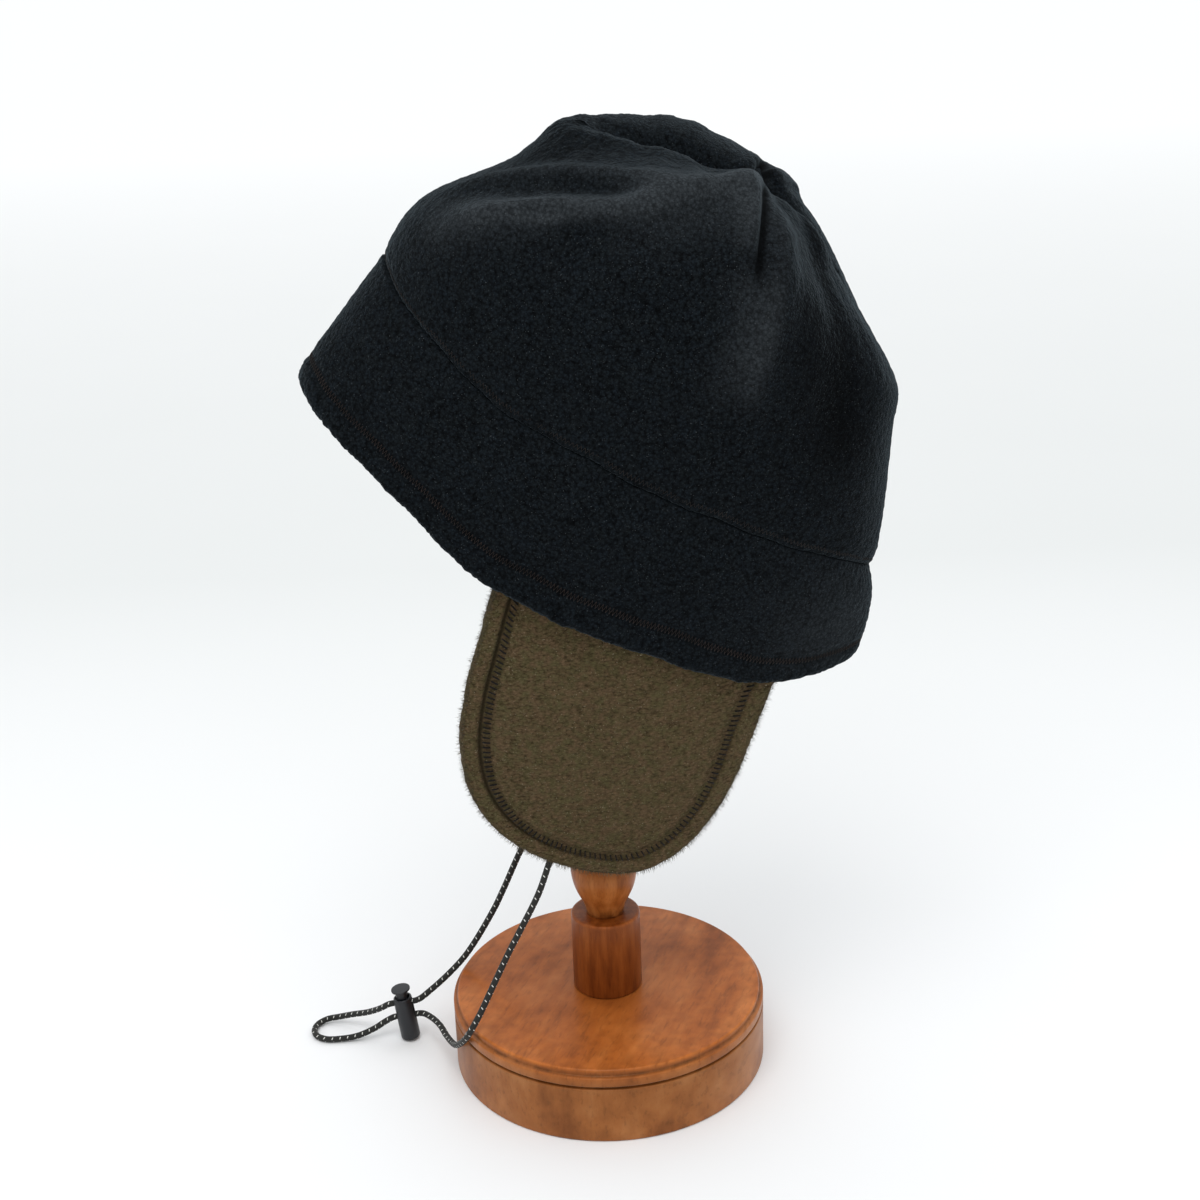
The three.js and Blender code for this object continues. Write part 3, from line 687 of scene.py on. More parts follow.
def fleece_finish(name, dark, light, other, fleck, grain, lay, hollow, **values):
    """Napped fleece: small curled clumps with painted shade in the hollows between them, fine fibres, a few
    bright fibre ends, and a soft sheen. Seams flatten the nap and painted shade darkens them, and a layer of
    painted light lightens lit crests and darkens shaded facets."""
    finish, place = new_finish(name)
    pressed, opened = layer_value(finish, "pressed"), layer_value(finish, "opened")
    warp = noise(place, 700.0, 1.0, output="Color")
    bent = vector_node("MULTIPLY_ADD", {0: warp, 1: 3 * (0.0008,), 2: place})
    bent = vector_node("MULTIPLY", {0: bent, 1: lay})
    clumps, curls = (node("ShaderNodeTexVoronoi", {"Vector": bent, "Scale": scale})["Distance"]
                     for scale in (grain, 2.1 * grain))
    fibres = noise(bent, 4.5 * grain, 2.0, 0.65)
    height = weighted(0.8, (fibres, 0.6), (clumps, -0.7), (curls, -0.5))
    shade = weighted(height, (noise(place, 70.0, 3.0, 0.6), 0.2))
    # Painted shade: the colour darkens down into the hollows between the clumps, more for a higher hollow
    # power.
    share = math_node("POWER", remap(shade, 0.15, 0.95), hollow)
    hue = remap(noise(place, 260.0, 3.0, 0.6), 0.38, 0.62)
    # Painted highlights mix lit crests towards a paler colour, and painted shade scales shaded facets darker
    # where the layer is below zero.
    tips = mix_colour(opened, mix_colour(hue, light, other), PAINTED_HIGHLIGHT_NAP)
    roots = mix_colour(opened, dark, scaled(PAINTED_HIGHLIGHT_NAP, 0.3))
    closed = remap(opened, -1.0, 0.0, 0.3, 1.0)
    colour = vector_node("SCALE", {0: mix_colour(share, roots, tips), "Scale": closed})
    ends = remap(noise(place, 1900.0, 1.0), 0.7, 0.78)
    colour = mix_colour(ends, colour, fleck)
    # Painted shade in seams and stitch grooves, where the nap is also flattened.
    colour = mix_colour(weighted(0.0, (pressed, 0.85)), colour, scaled(dark, 0.4))
    relief = bump(height, 0.0006, weighted(0.6, (pressed, -0.45)))
    return shaded(finish, Base_Color=colour, Normal=relief, Roughness=0.95, Specular_IOR_Level=0.05, **values)


def thread_finish(name, colour):
    """Sewing thread: a plain colour with a little unevenness and a faint gloss."""
    finish, place = new_finish(name)
    worn = remap(noise(place, 45.0), 0.42, 0.58, 0.3, 1.0)
    share = math_node("MULTIPLY", remap(noise(place, 900.0), 0.35, 0.65), worn)
    return shaded(finish, Base_Color=mix_colour(share, scaled(colour, 0.3), colour), Roughness=0.75,
                  Specular_IOR_Level=0.15, Sheen_Weight=0.05)


def wood_finish(name, turn, stretch, tone, blotches=0.5):
    """Stained and lacquered wood: grain drawn out along one way, pores, cloudy stain, and the worn layer's
    rubbing with painted highlights and shade; the block's side is paler with a painted reflection. Turn is
    the grain's way round from X, and stretch the grain's size along it, across it and upwards."""
    finish, place = new_finish(name)
    inputs = {"Vector": place, "Rotation": (0, 0, turn), "Scale": stretch}
    drawn = node("ShaderNodeMapping", inputs, vector_type="TEXTURE")["Vector"]
    pores = noise(drawn, 5.5, 2.0, 0.7)
    clouds = noise(place, 26.0, 3.0, 0.55)
    grain = noise(drawn, 1.0, 4.0, 0.6)
    share = weighted(0.0, (grain, 1 - blotches), (clouds, blotches))
    stained = node("ShaderNodeValToRGB", {"Fac": share})["Color"]
    stops = stained.node.color_ramp.elements
    stops.new(0.5)
    for stop, (position, stain) in zip(stops, WOOD_STAINS):
        stop.position, stop.color = position, (*scaled(stain, *tone), 1)
    worn = remap(noise(place, 160.0), 0.4, 0.6, 0.35, 1.0)
    # The worn layer lightens rubbed places and adds painted highlights on lit edges, and adds painted shade
    # in grooves, steps and under the neck.
    worn_and_painted_light = math_node("MULTIPLY", layer_value(finish, "worn"), worn)
    speck = remap(pores, 0.3, 0.45, 0.78, 1.0)
    shade = math_node("MULTIPLY_ADD", speck, worn_and_painted_light, speck)
    colour = vector_node("SCALE", {0: stained, "Scale": shade})
    # Painted reflection: the block's side turned paler and greyer.
    painted_reflection = vector_node("MULTIPLY", {0: colour, 1: SIDE_PAINTED_REFLECTION})
    side = remap(axes_of(place)["Z"], 0.027, 0.037, 1.0, 0.0)
    return shaded(finish, Base_Color=mix_colour(side, colour, painted_reflection), Coat_Weight=0.12,
                  Coat_Roughness=0.2, Specular_IOR_Level=0.3, Specular_Tint=(1, 0.72, 0.45, 1),
                  Roughness=remap(clouds, 0.3, 0.7, 0.5, 0.34), Normal=bump(pores, 0.0002, 0.35))


def cord_finish(name):
    """Braided elastic cord: slanting black strands, and pale flecks set round it at even steps.
    The U coordinate runs once round the cord, and V along it in diameters."""
    finish, _ = new_finish(name)
    axes = axes_of(node("ShaderNodeUVMap", {}, finish.node_tree, uv_map="cord")["UV"])
    turn, along = axes["X"], axes["Y"]
    slanted = (weighted(0.0, (turn, lean), (along, 5.0)) for lean in (8.0, -8.0))
    weave = math_node("MAXIMUM", *(math_node("PINGPONG", each, 0.5) for each in slanted))
    rows = weighted(0.0, (turn, 4.0))
    row_place, row_number = math_node("FRACT", rows), math_node("FLOOR", rows)
    slant = weighted(0.0, (along, 0.78), (row_number, 0.37), (row_place, 0.22))
    along_fleck = remap(math_node("PINGPONG", slant, 0.5), 0.072, 0.045)
    off_middle = math_node("ABSOLUTE", math_node("SUBTRACT", row_place, 0.5))
    fleck = math_node("MULTIPLY", along_fleck, remap(off_middle, 0.28, 0.2))
    black = mix_colour(remap(weave, 0.2, 0.5), (0.006, 0.006, 0.005), (0.03, 0.03, 0.027))
    relief = bump(math_node("ADD", weave, fleck), 0.0002, 0.8)
    return shaded(finish, Base_Color=mix_colour(fleck, black, (0.75, 0.75, 0.7)), Normal=relief,
                  Roughness=0.75, Specular_IOR_Level=0.25, Sheen_Weight=0.08)


def plastic_finish(name):
    """Black moulded plastic: satin, with a fine grain and a little dust."""
    finish, place = new_finish(name)
    fine = noise(place, 2600.0, 2.0, 0.6)
    dust = remap(noise(place, 500.0, 3.0, 0.7), 0.62, 0.8)
    return shaded(finish, Base_Color=mix_colour(dust, (0.009, 0.01, 0.013), (0.04, 0.04, 0.045)),
                  Roughness=remap(fine, 0.3, 0.7, 0.32, 0.46), Normal=bump(fine, 0.00006, 0.5),
                  Specular_IOR_Level=0.45)


# Camera, light and floor

def add_camera():
    """Camera at the photograph's place and angle."""
    data = bpy.data.cameras.new("camera")
    data.lens, data.sensor_width, data.sensor_fit = LENS_MM, SENSOR_MM, "HORIZONTAL"
    data.clip_start, data.clip_end = 0.02, 60
    camera = new_object("camera", data)
    turn = Matrix((CAMERA_RIGHT, CAMERA_UP, CAMERA_BACK)).transposed()
    camera.matrix_world = Matrix.Translation(CAMERA_PLACE) @ turn.to_4x4()
    bpy.context.scene.camera = camera


def add_studio():
    """White surroundings that are brightest overhead, a large square soft light above, aimed at the hat, and
    a wide pale floor with painted shade, darkest from 0.7 m deep and paler again far off."""
    world = bpy.data.worlds.new("studio")
    world.use_nodes = True
    bpy.context.scene.world = world
    bpy.context.scene.view_settings.view_transform = "Standard"
    background = world.node_tree.nodes["Background"].inputs
    upward = axes_of(node("ShaderNodeTexCoord", {}, world.node_tree)["Generated"])["Z"]
    feed(background["Strength"], remap(upward, -0.1, 0.9, 0.36, 1.32))
    feed(background["Color"], (0.97, 0.985, 1, 1))
    data = bpy.data.lights.new("overhead", "AREA")
    data.shape, data.size, data.energy = "SQUARE", LIGHT_WIDTH, LIGHT_POWER
    light = new_object("overhead", data)
    light.location = LIGHT_PLACE
    light.rotation_mode = "QUATERNION"
    light.rotation_quaternion = (Vector(LIGHT_PLACE) - Vector(LIGHT_AIM)).to_track_quat("Z", "Y")
    corners = FLOOR_REACH * np.array([[-1, -1, 0], [1, -1, 0], [1, 1, 0], [-1, 1, 0]])
    floor = new_object("floor", make_mesh("floor", corners, [[0, 1, 2, 3]]))
    finish, place = new_finish("floor")
    depth = axes_of(place)["Y"]
    # Painted light falloff: the floor darkens from 0.1 to 0.7 m deep and grows paler again out to 3.5 m, with
    # a little random tone.
    share = weighted(0.0, (remap(depth, 0.1, 0.7), 0.8), (noise(place, 3.0), 0.2))
    colour = mix_colour(share, (0.87, 0.873, 0.876), (0.73, 0.745, 0.735))
    colour = mix_colour(remap(depth, 0.7, 3.5), colour, (0.95, 0.955, 0.95))
    floor.data.materials.append(shaded(finish, Base_Color=colour, Roughness=0.8, Specular_IOR_Level=0.1))


# Chin cord and its lock

def add_chin_cord(finish):
    """Cord as a round tube along its route. Its section is set square to the route by the upright,
    which the route never follows, and U and V run round it and along it."""
    sides, steps = 16, 560
    route = spline_points(CORD_ROUTE, 24)
    path = points_at(route, np.linspace(0, distances(route)[-1], steps + 1))
    ring, _ = section(unit(np.gradient(path, axis=0)), [0, 0, 1], even_turn(sides))
    points = np.vstack([(path[:, None] + CORD_RADIUS * ring).reshape(-1, 3), path[:1], path[-1:]])
    column = np.arange(sides)
    beside, top, first = (column + 1) % sides, steps * sides, 0 * column + (steps + 1) * sides
    quads = np.vstack([wrapped_faces(steps + 1, sides)[:, ::-1],
                       np.stack([first, beside, column, first], axis=1),
                       np.stack([first + 1, top + column, top + beside, first + 1], axis=1)])
    piece = add_piece("chin_cord_braid", points, quads, finish, "elastic_cord", ["chin_cord"])
    mesh = piece.data
    corner = np.zeros(len(mesh.loops), np.int32)
    mesh.loops.foreach_get("vertex_index", corner)
    around = corner % sides / sides
    along = np.minimum(corner // sides, steps) / steps * distances(path)[-1] / (2 * CORD_RADIUS)
    whole = 4 * steps * sides
    for faces in (around[:whole].reshape(-1, 4), around[whole:].reshape(-1, 3)):
        faces[(faces == 0) & (faces.max(axis=1, keepdims=True) > 0.6)] = 1.0
    layer = mesh.uv_layers.new(name="cord")
    layer.data.foreach_set("uv", np.stack([around, along], axis=1).astype(np.float32).ravel())
    return piece, path


def lathe(profile, sides):
    """Points and quads of a body turned about Z: each profile point of radius and height carried
    round the axis, the ends closed at the axis."""
    profile = np.array(profile, float)
    angle = even_turn(sides)
    radius, height = profile[:, :1], profile[:, 1:]
    points = np.stack([radius * np.cos(angle), radius * np.sin(angle), height + 0 * angle], axis=-1)
    quads = wrapped_faces(len(profile), sides)
    for row in (0, len(profile) - 1):
        if profile[row, 0] == 0:
            quads = np.where(quads // sides == row, row * sides, quads)
    return without_spare(points.reshape(-1, 3), quads)


def rounded(profile, radius, steps=4):
    """Profile with its corners rounded: each corner replaced by a curve that leaves its two sides at
    the radius, or at under half of a shorter side."""
    profile = np.array(profile, float)
    corner = profile[1:-1]
    start, end = (corner + unit(run) * np.minimum(radius, 0.45 * norm(run, axis=1))[:, None]
                  for run in (profile[:-2] - corner, profile[2:] - corner))
    share = np.linspace(0, 1, steps)[:, None]
    start, corner, end = start[:, None], corner[:, None], end[:, None]
    curve = (1 - share) ** 2 * start + 2 * share * (1 - share) * corner + share ** 2 * end
    return np.vstack([profile[:1], curve.reshape(-1, 2), profile[-1:]])


def slot_cutter(bottom, top):
    """Cutter for the cord's slot: an upright outline with round ends, carried along X."""
    half = SLOT_WIDTH / 2
    arc = np.linspace(0, math.pi, 13)
    end = half * np.stack([np.cos(arc), np.sin(arc)], axis=1)
    outline = np.vstack([[0, top - half] + end, [0, bottom + half] - end])
    count = len(outline)
    ends = [np.column_stack([np.full(count, x), outline]) for x in (-2 * CAP_RADIUS, 2 * CAP_RADIUS)]
    caps = [list(range(count))[::-1], list(range(count, 2 * count))]
    mesh = bpy.data.meshes.new("slot_cutter")
    mesh.from_pydata(np.vstack(ends).tolist(), [], wrapped_faces(2, count).tolist() + caps)
    return mesh


def add_lock_piece(name, profile, slot, finish, cad_node, body):
    """Turned piece of the lock with the cord's slot cut through it, leaning as the lock leans."""
    piece = new_object(name, make_mesh(name, *lathe(profile, 48)))
    cutter = new_object("cutter", slot_cutter(*slot))
    cut = piece.modifiers.new("slot", "BOOLEAN")
    cut.object, cut.operation, cut.solver = cutter, "DIFFERENCE", "EXACT"
    whole = piece.evaluated_get(bpy.context.evaluated_depsgraph_get())
    mesh = bpy.data.meshes.new_from_object(whole)
    piece.modifiers.clear()
    piece.data = mesh
    bpy.data.objects.remove(cutter)
    mesh.transform(Matrix.Translation(LOCK_PLACE) @ Matrix.Rotation(-LOCK_LEAN, 4, "Y"))
    mesh.materials.clear()
    mesh.materials.append(finish)
    mesh.shade_smooth()
    mesh.set_sharp_from_angle(angle=math.radians(32))
    return claim(piece, body, [cad_node])


def add_cord_lock(finish):
    """Barrel with its bore, and the sprung button with its plunger and cap."""
    lip, shoulder = 0.0006, 0.0022
    barrel = rounded([
        [0, 0], [BARREL_RADIUS - lip, 0], [BARREL_RADIUS, lip], [BARREL_RADIUS, BARREL_HEIGHT - shoulder],
        [BARREL_RADIUS - 0.0003, BARREL_HEIGHT], [BORE_RADIUS, BARREL_HEIGHT], [BORE_RADIUS, BORE_FLOOR],
        [0, BORE_FLOOR],
    ], 0.0005)
    button = rounded([
        [0, PLUNGER_FOOT], [PLUNGER_RADIUS, PLUNGER_FOOT], [PLUNGER_RADIUS, CAP_UNDERSIDE],
        [CAP_RADIUS, CAP_UNDERSIDE], [CAP_RADIUS, CAP_TOP], [0, CAP_TOP],
    ], 0.0003)
    return [add_lock_piece("lock_barrel", barrel, (SLOT_BOTTOM, SLOT_TOP), finish, "cord_lock_barrel", BODY),
            add_lock_piece("lock_button_cap", button, (SLOT_BOTTOM - 0.0001, SLOT_TOP + PRESS_TRAVEL), finish,
                           "cord_lock_button", BUTTON_BODY)]


# Stand

def add_wooden(name, profile, sides, worn, cad_node, *look):
    """Turned piece of the stand with its wood. Bells round places in its profile lighten it, as wear and
    painted highlights, and darken it with painted shade, each with its strength, radius, height and width."""
    points, quads = lathe(profile, sides)
    spot = np.stack([norm(points[:, :2], axis=1), points[:, 2]], axis=1)
    worn = sum(strength * bell(norm(spot - (radius, height), axis=1), width)
               for strength, radius, height, width in worn)
    finish = wood_finish(name.split("_")[0] + "_wood", *look)
    add_piece(name, points, quads, finish, "wood", [cad_node], worn=worn)


def add_stand():
    """Round block with its rim step and groove, the short thick post, and the neck, stem and top."""
    rim, groove = BASE_RADIUS - 0.0019, BASE_RADIUS - 0.0017
    step, chamfer, wear = BASE_HEIGHT - 0.003, 0.0006, 0.0011
    base = rounded([
        [0, 0], [BASE_RADIUS - chamfer, 0], [BASE_RADIUS, chamfer], [BASE_RADIUS, 0.0278],
        [groove, 0.0281], [groove, 0.0291], [BASE_RADIUS, 0.0294], [BASE_RADIUS, step - 0.0005],
        [rim, step], [rim, BASE_HEIGHT - 0.0008], [rim - 0.0008, BASE_HEIGHT], [0.001, BASE_HEIGHT],
        [0, BASE_HEIGHT],
    ], 0.0005)
    # Painted shade in the rim step and the groove, a painted highlight on the top rim's edge, and lighter
    # outer edges above the step and at the foot.
    worn = ((-0.6, rim, step, wear), (0.6, rim - chamfer, BASE_HEIGHT, wear), (-0.6, groove, 0.0286, wear),
            (0.3, BASE_RADIUS, step - 0.0005, wear), (0.3, BASE_RADIUS, chamfer, wear))
    add_wooden("base_block", base, 192, worn, "stand_base", math.radians(68), (0.05, 0.011, 0.022), (1, 1, 1))
    top, corner = BASE_HEIGHT + SOCKET_HEIGHT, 0.0009
    socket = rounded([
        [0, BASE_HEIGHT], [SOCKET_RADIUS, BASE_HEIGHT], [SOCKET_RADIUS, top - corner],
        [SOCKET_RADIUS - corner, top], [0.001, top], [0, top],
    ], 0.001)
    # A painted highlight on the top corner, and painted shadow on the top face round the neck.
    worn = ((0.5, SOCKET_RADIUS - corner / 3, top - corner / 3, corner), (-0.5, 0.011, top, 0.003))
    add_wooden("socket_post", socket, 96, worn, "stand_socket", 0, (0.004, 0.004, 0.033),
               (0.7, 0.6, 0.5), 0.3)
    neck = spline_points(NECK + [0, top], 6)
    head = spline_points(HEAD + [0, DOME_CENTRE_HEIGHT], 6)
    turn = np.linspace(0, math.pi / 2, 24)
    dome = np.stack([DOME_RADIUS * np.cos(turn), DOME_CENTRE_HEIGHT + DOME_RADIUS * np.sin(turn)], axis=1)
    dome[-1, 0] = 0
    post = np.vstack([[[0, top]], neck, head, dome])
    # Painted shade round the neck's foot.
    worn = ((-0.55, 0.009, top, 0.004),)
    add_wooden("neck_and_top", post, 96, worn, "stand_post", 0, (0.0042, 0.0042, 0.03),
               (1.05, 1.12, 1.25), 0.25)


# Hat

def crown_outer(place, angle):
    """Outer face of the crown: its folds and darts, and a lower edge that rolls in at the seam."""
    darts = fold_lift(ring_point(CROWN_RINGS, place, angle), CROWN_DARTS)
    return crown_point(place, angle, 0.0002 * np.clip(1 - place / 0.2, 0, 1) ** 2 - darts)


def add_crown(finish):
    """Crown as one shut shell: the outer face from the top seam down, a round lower edge, and the inner face
    back up to the seam. Its darts and the top seam flatten the nap and carry painted shade, and the crests of
    its folds carry painted highlights, with more painted highlights and shade from the crown's painted light
    table."""
    dart_depth, crest_height = 0.0013, 0.005
    place, angle = grid_places(np.linspace(SEAM_ROW, 0, 140), CROWN_COLUMNS)
    point = ring_point(CROWN_RINGS, place, angle)
    darts = -fold_lift(point, CROWN_DARTS) / dart_depth
    # Painted shade in the dart slits and along the top seam, where the nap is also flattened.
    pressed = np.clip(darts + 0.6 * bell(SEAM_ROW - place, 0.2), 0, 1)
    # Painted highlights on the folds' crests, plus the crown's table of painted highlights and shade.
    crests = fold_lift(point, [fold for fold in CROWN_FOLDS if fold[0] > 0]) / crest_height
    opened = np.clip(np.clip(crests, 0, 1) ** 2.5 + fold_lift(point, CROWN_PAINTED_LIGHT), -1, 1)
    outer = napped(crown_outer(place, angle), NAP_HEIGHT, 1 - 0.7 * pressed, FIRST_SHUT)
    inner = crown_point(*grid_places(np.linspace(0, SEAM_ROW, 11), CROWN_COLUMNS), FLEECE)
    edge, _ = rolled(outer, inner, 2, FLEECE / 2, 5, 0.6)
    add_cloth("hat_crown", np.concatenate([outer, edge, inner]), finish, "black_fleece",
              ["crown_left", "crown_right"], True, pressed=pressed, opened=opened)


def band_outer(place, angle):
    """Outer face of the band: its folds, the hem puffed under its stitches, and their groove."""
    puff, groove = 0.0009, 0.0008
    relief = puff * bell(place - 1.1, 0.6) - groove * bell(place - HEM_STITCH_PLACE, 0.22)
    return band_point(place, angle, -relief)


def add_band(finish):
    """Band as one ring: down its outer face, round the turned hem, up the inside, and over the top
    edge that is tucked up behind the crown."""
    place, angle = grid_places(np.linspace(5, 1, 74), BAND_COLUMNS)
    # Painted shade along the hem stitches' groove, where the nap is also flattened.
    pressed = 0.6 * bell(place - HEM_STITCH_PLACE, 0.12)
    # Painted highlight round the band's back end on the near side.
    opened = 0.5 * bell(angle - 0.5, 0.35) * bell(place - 3.2, 1.4)
    outer = napped(band_outer(place, angle), NAP_HEIGHT, 1 - 0.6 * pressed)
    insets = np.array([HEM, HEM, (HEM + FLEECE) / 2, FLEECE, FLEECE, FLEECE, FLEECE])[:, None]
    inside = band_point(*grid_places([1, 1.7, 2, 2.2, 3, 4, 5], BAND_COLUMNS), insets)
    roll, turned = rolled(outer, inside, 3, HEM / 2, 13)
    roll = roll + unit(turned) * nap(roll, 0.6 * NAP_HEIGHT)[..., None]
    insets = FLEECE + SEAM_GAP + np.array([FLEECE, FLEECE, 0, 0, 0])[:, None]
    tuck = crown_point(*grid_places([0, 0.8, 0.8, 0.2, 0], BAND_COLUMNS), insets)
    edge_drop = 0.0016
    tuck[-1] -= [0, 0, edge_drop]
    add_cloth("hat_band", np.concatenate([outer, roll, inside, tuck]), finish, "black_fleece", ["band"],
              False, pressed=pressed, opened=opened)


def flap_depth(flat):
    """Depth of a flap's middle surface, curved like the band: a circle's arc in plan, deeper by height."""
    depth = np.interp(flat[..., 2], FLAP_DEPTH[:, 0], FLAP_DEPTH[:, 1])
    reach = (flat[..., 0] - FLAP_PLAN_CENTRE) / FLAP_PLAN_REACH
    return depth * np.sqrt(1 - reach ** 2) - FLAP_THICKNESS / 2


def flap_border(turn):
    """Width of a flap's border, a little more along its back edge."""
    return FLAP_BORDER + 0.0015 * bell(turn - 5, 0.8)


def flap_pull(turn):
    """How deep a flap's outer row of stitches pulls: wholly at the front, less from the tip on."""
    return 1 - 0.55 * np.clip((turn - 2.7) / 0.6, 0, 1)


def flap_half_thickness(inset, turn):
    """Half thickness of a flap by the way in from its edge: a round edge, a puffed border, the deep
    row of stitches, the pressed strip inside it, and the full middle."""
    round_width, row_depth, row_width, strip_depth = 0.0034, 0.0011, 0.0009, 0.0006
    rounding = np.sqrt(1 - (1 - np.clip(inset / round_width, 0, 1)) ** 2)
    within = inset - flap_border(turn)
    row = row_depth * flap_pull(turn) * bell(within, row_width)
    strip = strip_depth * bell(within - FLAP_STRIP / 2, 0.6 * FLAP_STRIP)
    return FLAP_THICKNESS / 2 * rounding - row - strip


def flap_pressed(inset, turn):
    """How far the stitches flatten a flap's nap and darken it with painted shade: wholly in their deep row,
    and partly in the strip.
    """
    within = inset - flap_border(turn)
    strip = np.clip((FLAP_STRIP / 2 + 0.0006 - np.abs(within - FLAP_STRIP / 2)) / 0.001, 0, 1)
    return np.clip(flap_pull(turn) * bell(within, 0.001) + 0.36 * strip, 0, 1)


def flap_frame(columns, shift):
    """Points spaced evenly round a flap's edge from the middle of its top, their angles, and the
    point of the flap's spine that each faces."""
    corners = np.array([[x + shift, 0, z] for x, z in FLAP_OUTLINE])
    curve = spline_points(corners, 40, closed=True)
    curve = np.vstack([curve, curve[:1]])
    length = distances(curve)[-1]
    top_middle = length - 0.5 * norm(corners[0] - corners[-1])
    edge = points_at(curve, np.mod(top_middle + length * np.arange(columns) / columns, length))
    turn = even_turn(columns)
    upper, lower = FLAP_SPINE + [shift, 0, 0]
    return edge, turn, upper + (lower - upper) * ((1 - np.cos(turn)) / 2)[:, None]


def flap_spot(frame, side, inset, facing=1, lift=0):
    """Points of a flap a way in from its edge, towards its spine: on its outer face, or on its back
    where facing is -1, and a lift off it."""
    edge, turn, goal = frame
    flat = edge + unit(goal - edge) * inset[..., None]
    depth = flap_depth(flat) + facing * flap_half_thickness(inset, turn) + lift
    return flat + side * depth[..., None] * SIDEWAYS


def add_ear_flap(name, cad_node, side, shift, finish):
    """Flap as a shut, doubled cloth: its outer face from a line down its middle to the edge, and its
    back face from the edge to the line again."""
    frame = edge, turn, goal = flap_frame(460, shift)
    reach = norm(goal - edge, axis=1)
    border = np.concatenate([np.linspace(0, 0.0075, 12, endpoint=False), np.linspace(0.0075, 0.0163, 25)])
    middle = np.linspace(0, 1, 48)[1:, None] * (reach - border[-1])
    inset = np.vstack([border[:, None] + 0 * reach, border[-1] + middle])
    # Painted shade in the deep row of stitches and, less, in the strip, where the nap is also flattened.
    pressed = flap_pressed(inset, turn)
    face, back = (flap_spot(frame, side, inset, facing) for facing in (1, -1))
    points, pressed = (np.concatenate([front[::-1], behind[1::2]])
                       for front, behind in ((face, back), (pressed, pressed)))
    if side > 0:
        points, pressed = (np.roll(each[:, ::-1], 1, axis=1) for each in (points, pressed))
    points = napped(points, FLAP_NAP_HEIGHT, 1 - 0.7 * pressed, BOTH_SHUT)
    add_cloth(name, points, finish, "olive_fleece", [cad_node], True, pressed=pressed)


# Fringe of fibres and stitches

def add_fringe(name, side, shift, finish):
    """Fibres that stand out round a flap's edge: each a thin three-sided spike, bent halfway, from a
    spot near the edge outwards, with its length and lean drawn at random."""
    count, deepest, root_radius, middle_radius, sunk = 5200, 0.0024, 0.00008, 0.000055, 0.0004
    draw = np.random.default_rng(31 if side < 0 else 32)
    frame = edge, _, goal = flap_frame(count, shift)
    inset = draw.uniform(0.0001, deepest, count)
    facing = np.where(draw.uniform(size=count) < 0.6, 1, -0.8)
    root = flap_spot(frame, side, inset, facing)
    lean = draw.normal(0, 0.3, (count, 3)) + [0, 0, -0.25]
    heading = unit(lean + unit(edge - goal) + (side * facing * inset / 0.003)[:, None] * SIDEWAYS)
    run = draw.uniform(0.001, 0.0028, count)[:, None] * heading
    ring, _ = section(heading, -SIDEWAYS, even_turn(3))
    bend = draw.normal(0, 0.00018, (count, 3))
    low = root[:, None] + root_radius * ring - sunk * heading[:, None]
    middle = (root + 0.55 * run + bend)[:, None] + middle_radius * ring
    tip = (root + run + 2.2 * bend)[:, None]
    spike = [[0, 1, 4, 3], [1, 2, 5, 4], [2, 0, 3, 5], [3, 4, 6, 6], [4, 5, 6, 6], [5, 3, 6, 6], [0, 2, 1, 1]]
    add_copies(name, np.concatenate([low, middle, tip], axis=1), np.array(spike), finish)


def add_threads(name, starts, ends, upward, radius, arch, finish):
    """Short threads as bent bars: a square section at four stations from each start to its end,
    raised in the middle by the arch, and shut at both ends."""
    share = np.array([0, 0.3, 0.7, 1.0])[None, :, None]
    ring, above = section(unit(ends - starts), upward, math.pi / 4 + even_turn(4))
    middle = starts[:, None] + share * (ends - starts)[:, None]
    middle = middle + arch * np.sin(math.pi * share) * above[:, None]
    points = (middle[:, :, None] + radius * ring[:, None]).reshape(len(starts), 16, 3)
    bar = np.vstack([wrapped_faces(4, 4)[:, ::-1], [[0, 1, 2, 3]], [[15, 14, 13, 12]]])
    add_copies(name, points, bar, finish)


def add_zigzag(name, surface, rings, low, high, pitch, lift, finish):
    """Zigzag stitches round the hat, between a low and a high place on a surface: an even number of
    points, half a pitch apart along the line midway, low and high in turn."""
    turn = np.linspace(0, FULL_TURN, 4001)
    far = distances(surface(0 * turn + (low + high) / 2, turn))
    count = 2 * round(far[-1] / pitch)
    angle = np.interp(far[-1] * np.arange(count) / count, far, turn)
    place = np.where(np.arange(count) % 2 == 0, low, high)
    direction = outward(rings, place, angle)
    spot = surface(place, angle) + direction * lift
    add_threads(name, spot, np.roll(spot, -1, axis=0), direction, THREAD_RADIUS, 0.0002, finish)


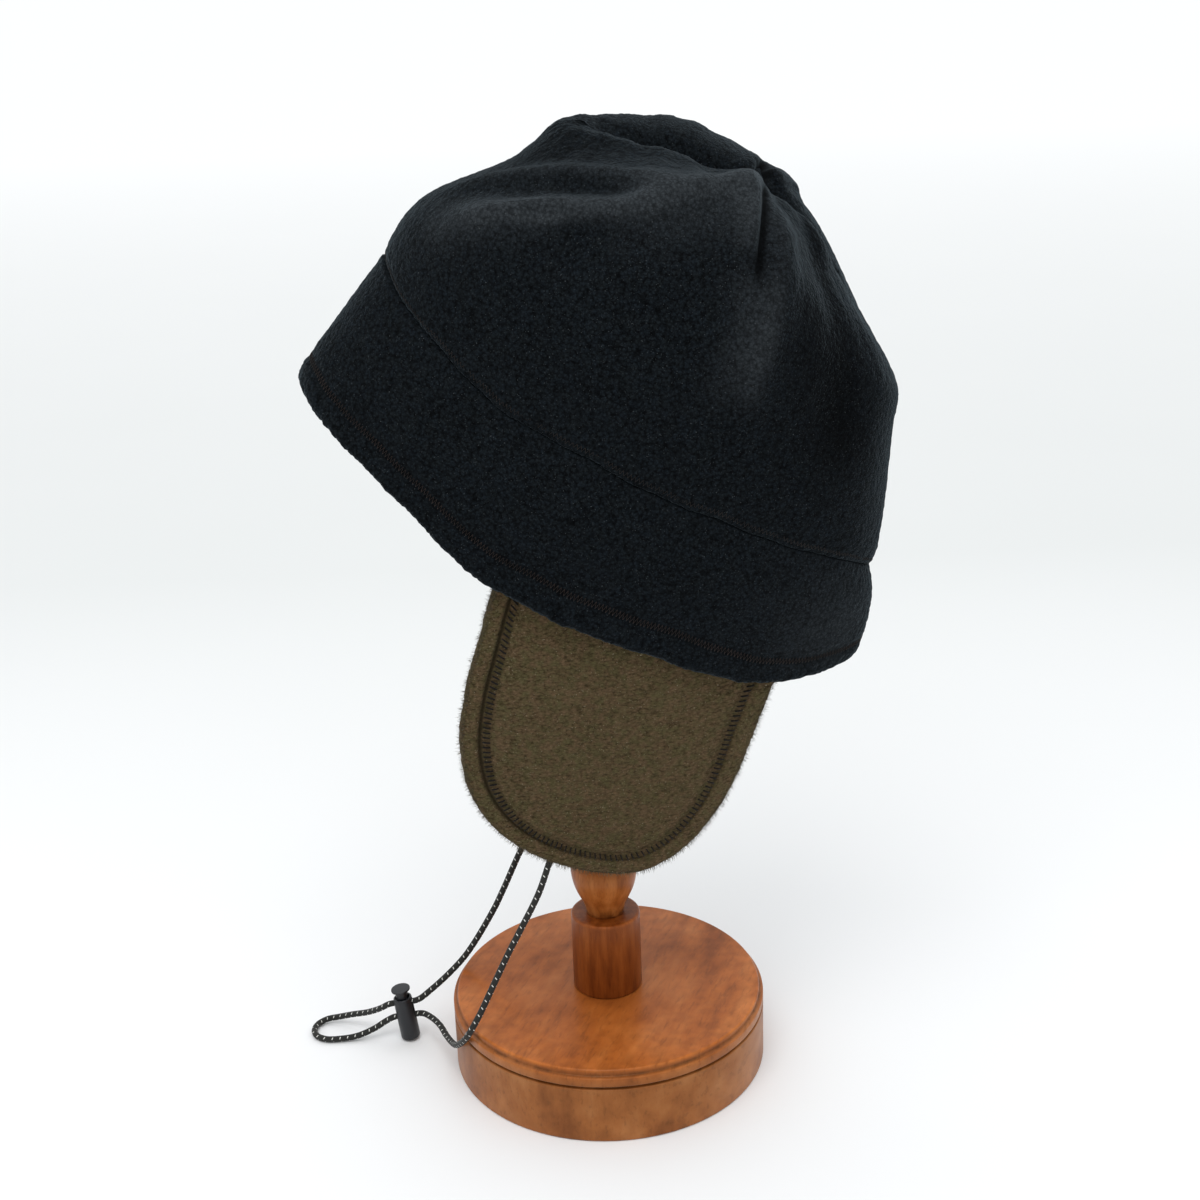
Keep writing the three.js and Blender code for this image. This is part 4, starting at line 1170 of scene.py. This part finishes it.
def add_flap_stitches(name, side, shift, finish):
    """Ladder stitches across a flap's strip, from the deep row inwards, a little further in at the
    front than at the back."""
    further, length, lift, radius, arch = 0.0014, 0.0034, 0.0001, 0.00034, 0.0003
    frame = _, turn, _ = flap_frame(172, shift)
    start = flap_border(turn) + further * (1 - np.clip((turn - 2.5) / 0.5, 0, 1))
    outer, inner = (flap_spot(frame, side, start + run, lift=lift) for run in (0, length))
    add_threads(name, outer, inner, 0 * outer + side * SIDEWAYS, radius, arch, finish)


add_camera()
add_studio()

braid, cord_path = add_chin_cord(cord_finish("braided_cord"))
lock_pieces = add_cord_lock(plastic_finish("black_plastic"))

add_stand()
black_fleece = fleece_finish(
    "black_fleece", (0.0007, 0.001, 0.0013), (0.0094, 0.0134, 0.0174), (0.0098, 0.013, 0.0152),
    (0.06, 0.068, 0.072), 640.0, (1, 1, 1), 1.5, Sheen_Weight=0.16, Sheen_Roughness=0.3,
    Sheen_Tint=(0.62, 0.78, 0.88, 1))
olive_fleece = fleece_finish(
    "olive_fleece", (0.026, 0.018, 0.0075), (0.124, 0.081, 0.045), (0.091, 0.077, 0.035),
    (0.3, 0.26, 0.18), 1000.0, (0.5, 1, 1), 1.0, Sheen_Weight=0.12, Sheen_Roughness=0.45,
    Sheen_Tint=(0.75, 0.65, 0.5, 1))
add_crown(black_fleece)
add_band(black_fleece)
add_ear_flap("flap_left", "ear_flap_left", -1, 0, olive_fleece)
add_ear_flap("flap_right", "ear_flap_right", 1, FAR_FLAP_SHIFT, olive_fleece)
hem_thread = thread_finish("hem_thread", (0.028, 0.019, 0.016))
seam_thread = thread_finish("seam_thread", (0.02, 0.0155, 0.0135))
flap_thread = thread_finish("flap_thread", (0.007, 0.0045, 0.003))
fibre = thread_finish("fringe_fibre", (0.2, 0.16, 0.09))
add_zigzag("hem_stitches", band_outer, BAND_RINGS, 2.12, 2.34, 0.0016, -0.00005, hem_thread)
add_zigzag("crown_edge_stitches", crown_outer, CROWN_RINGS, 0.1, 0.36, 0.0018, -0.00008, seam_thread)
add_fringe("flap_left_fringe", -1, 0, fibre)
add_flap_stitches("flap_left_stitches", -1, 0, flap_thread)
add_flap_stitches("flap_right_stitches", 1, FAR_FLAP_SHIFT, flap_thread)
add_fringe("flap_right_fringe", 1, FAR_FLAP_SHIFT, fibre)
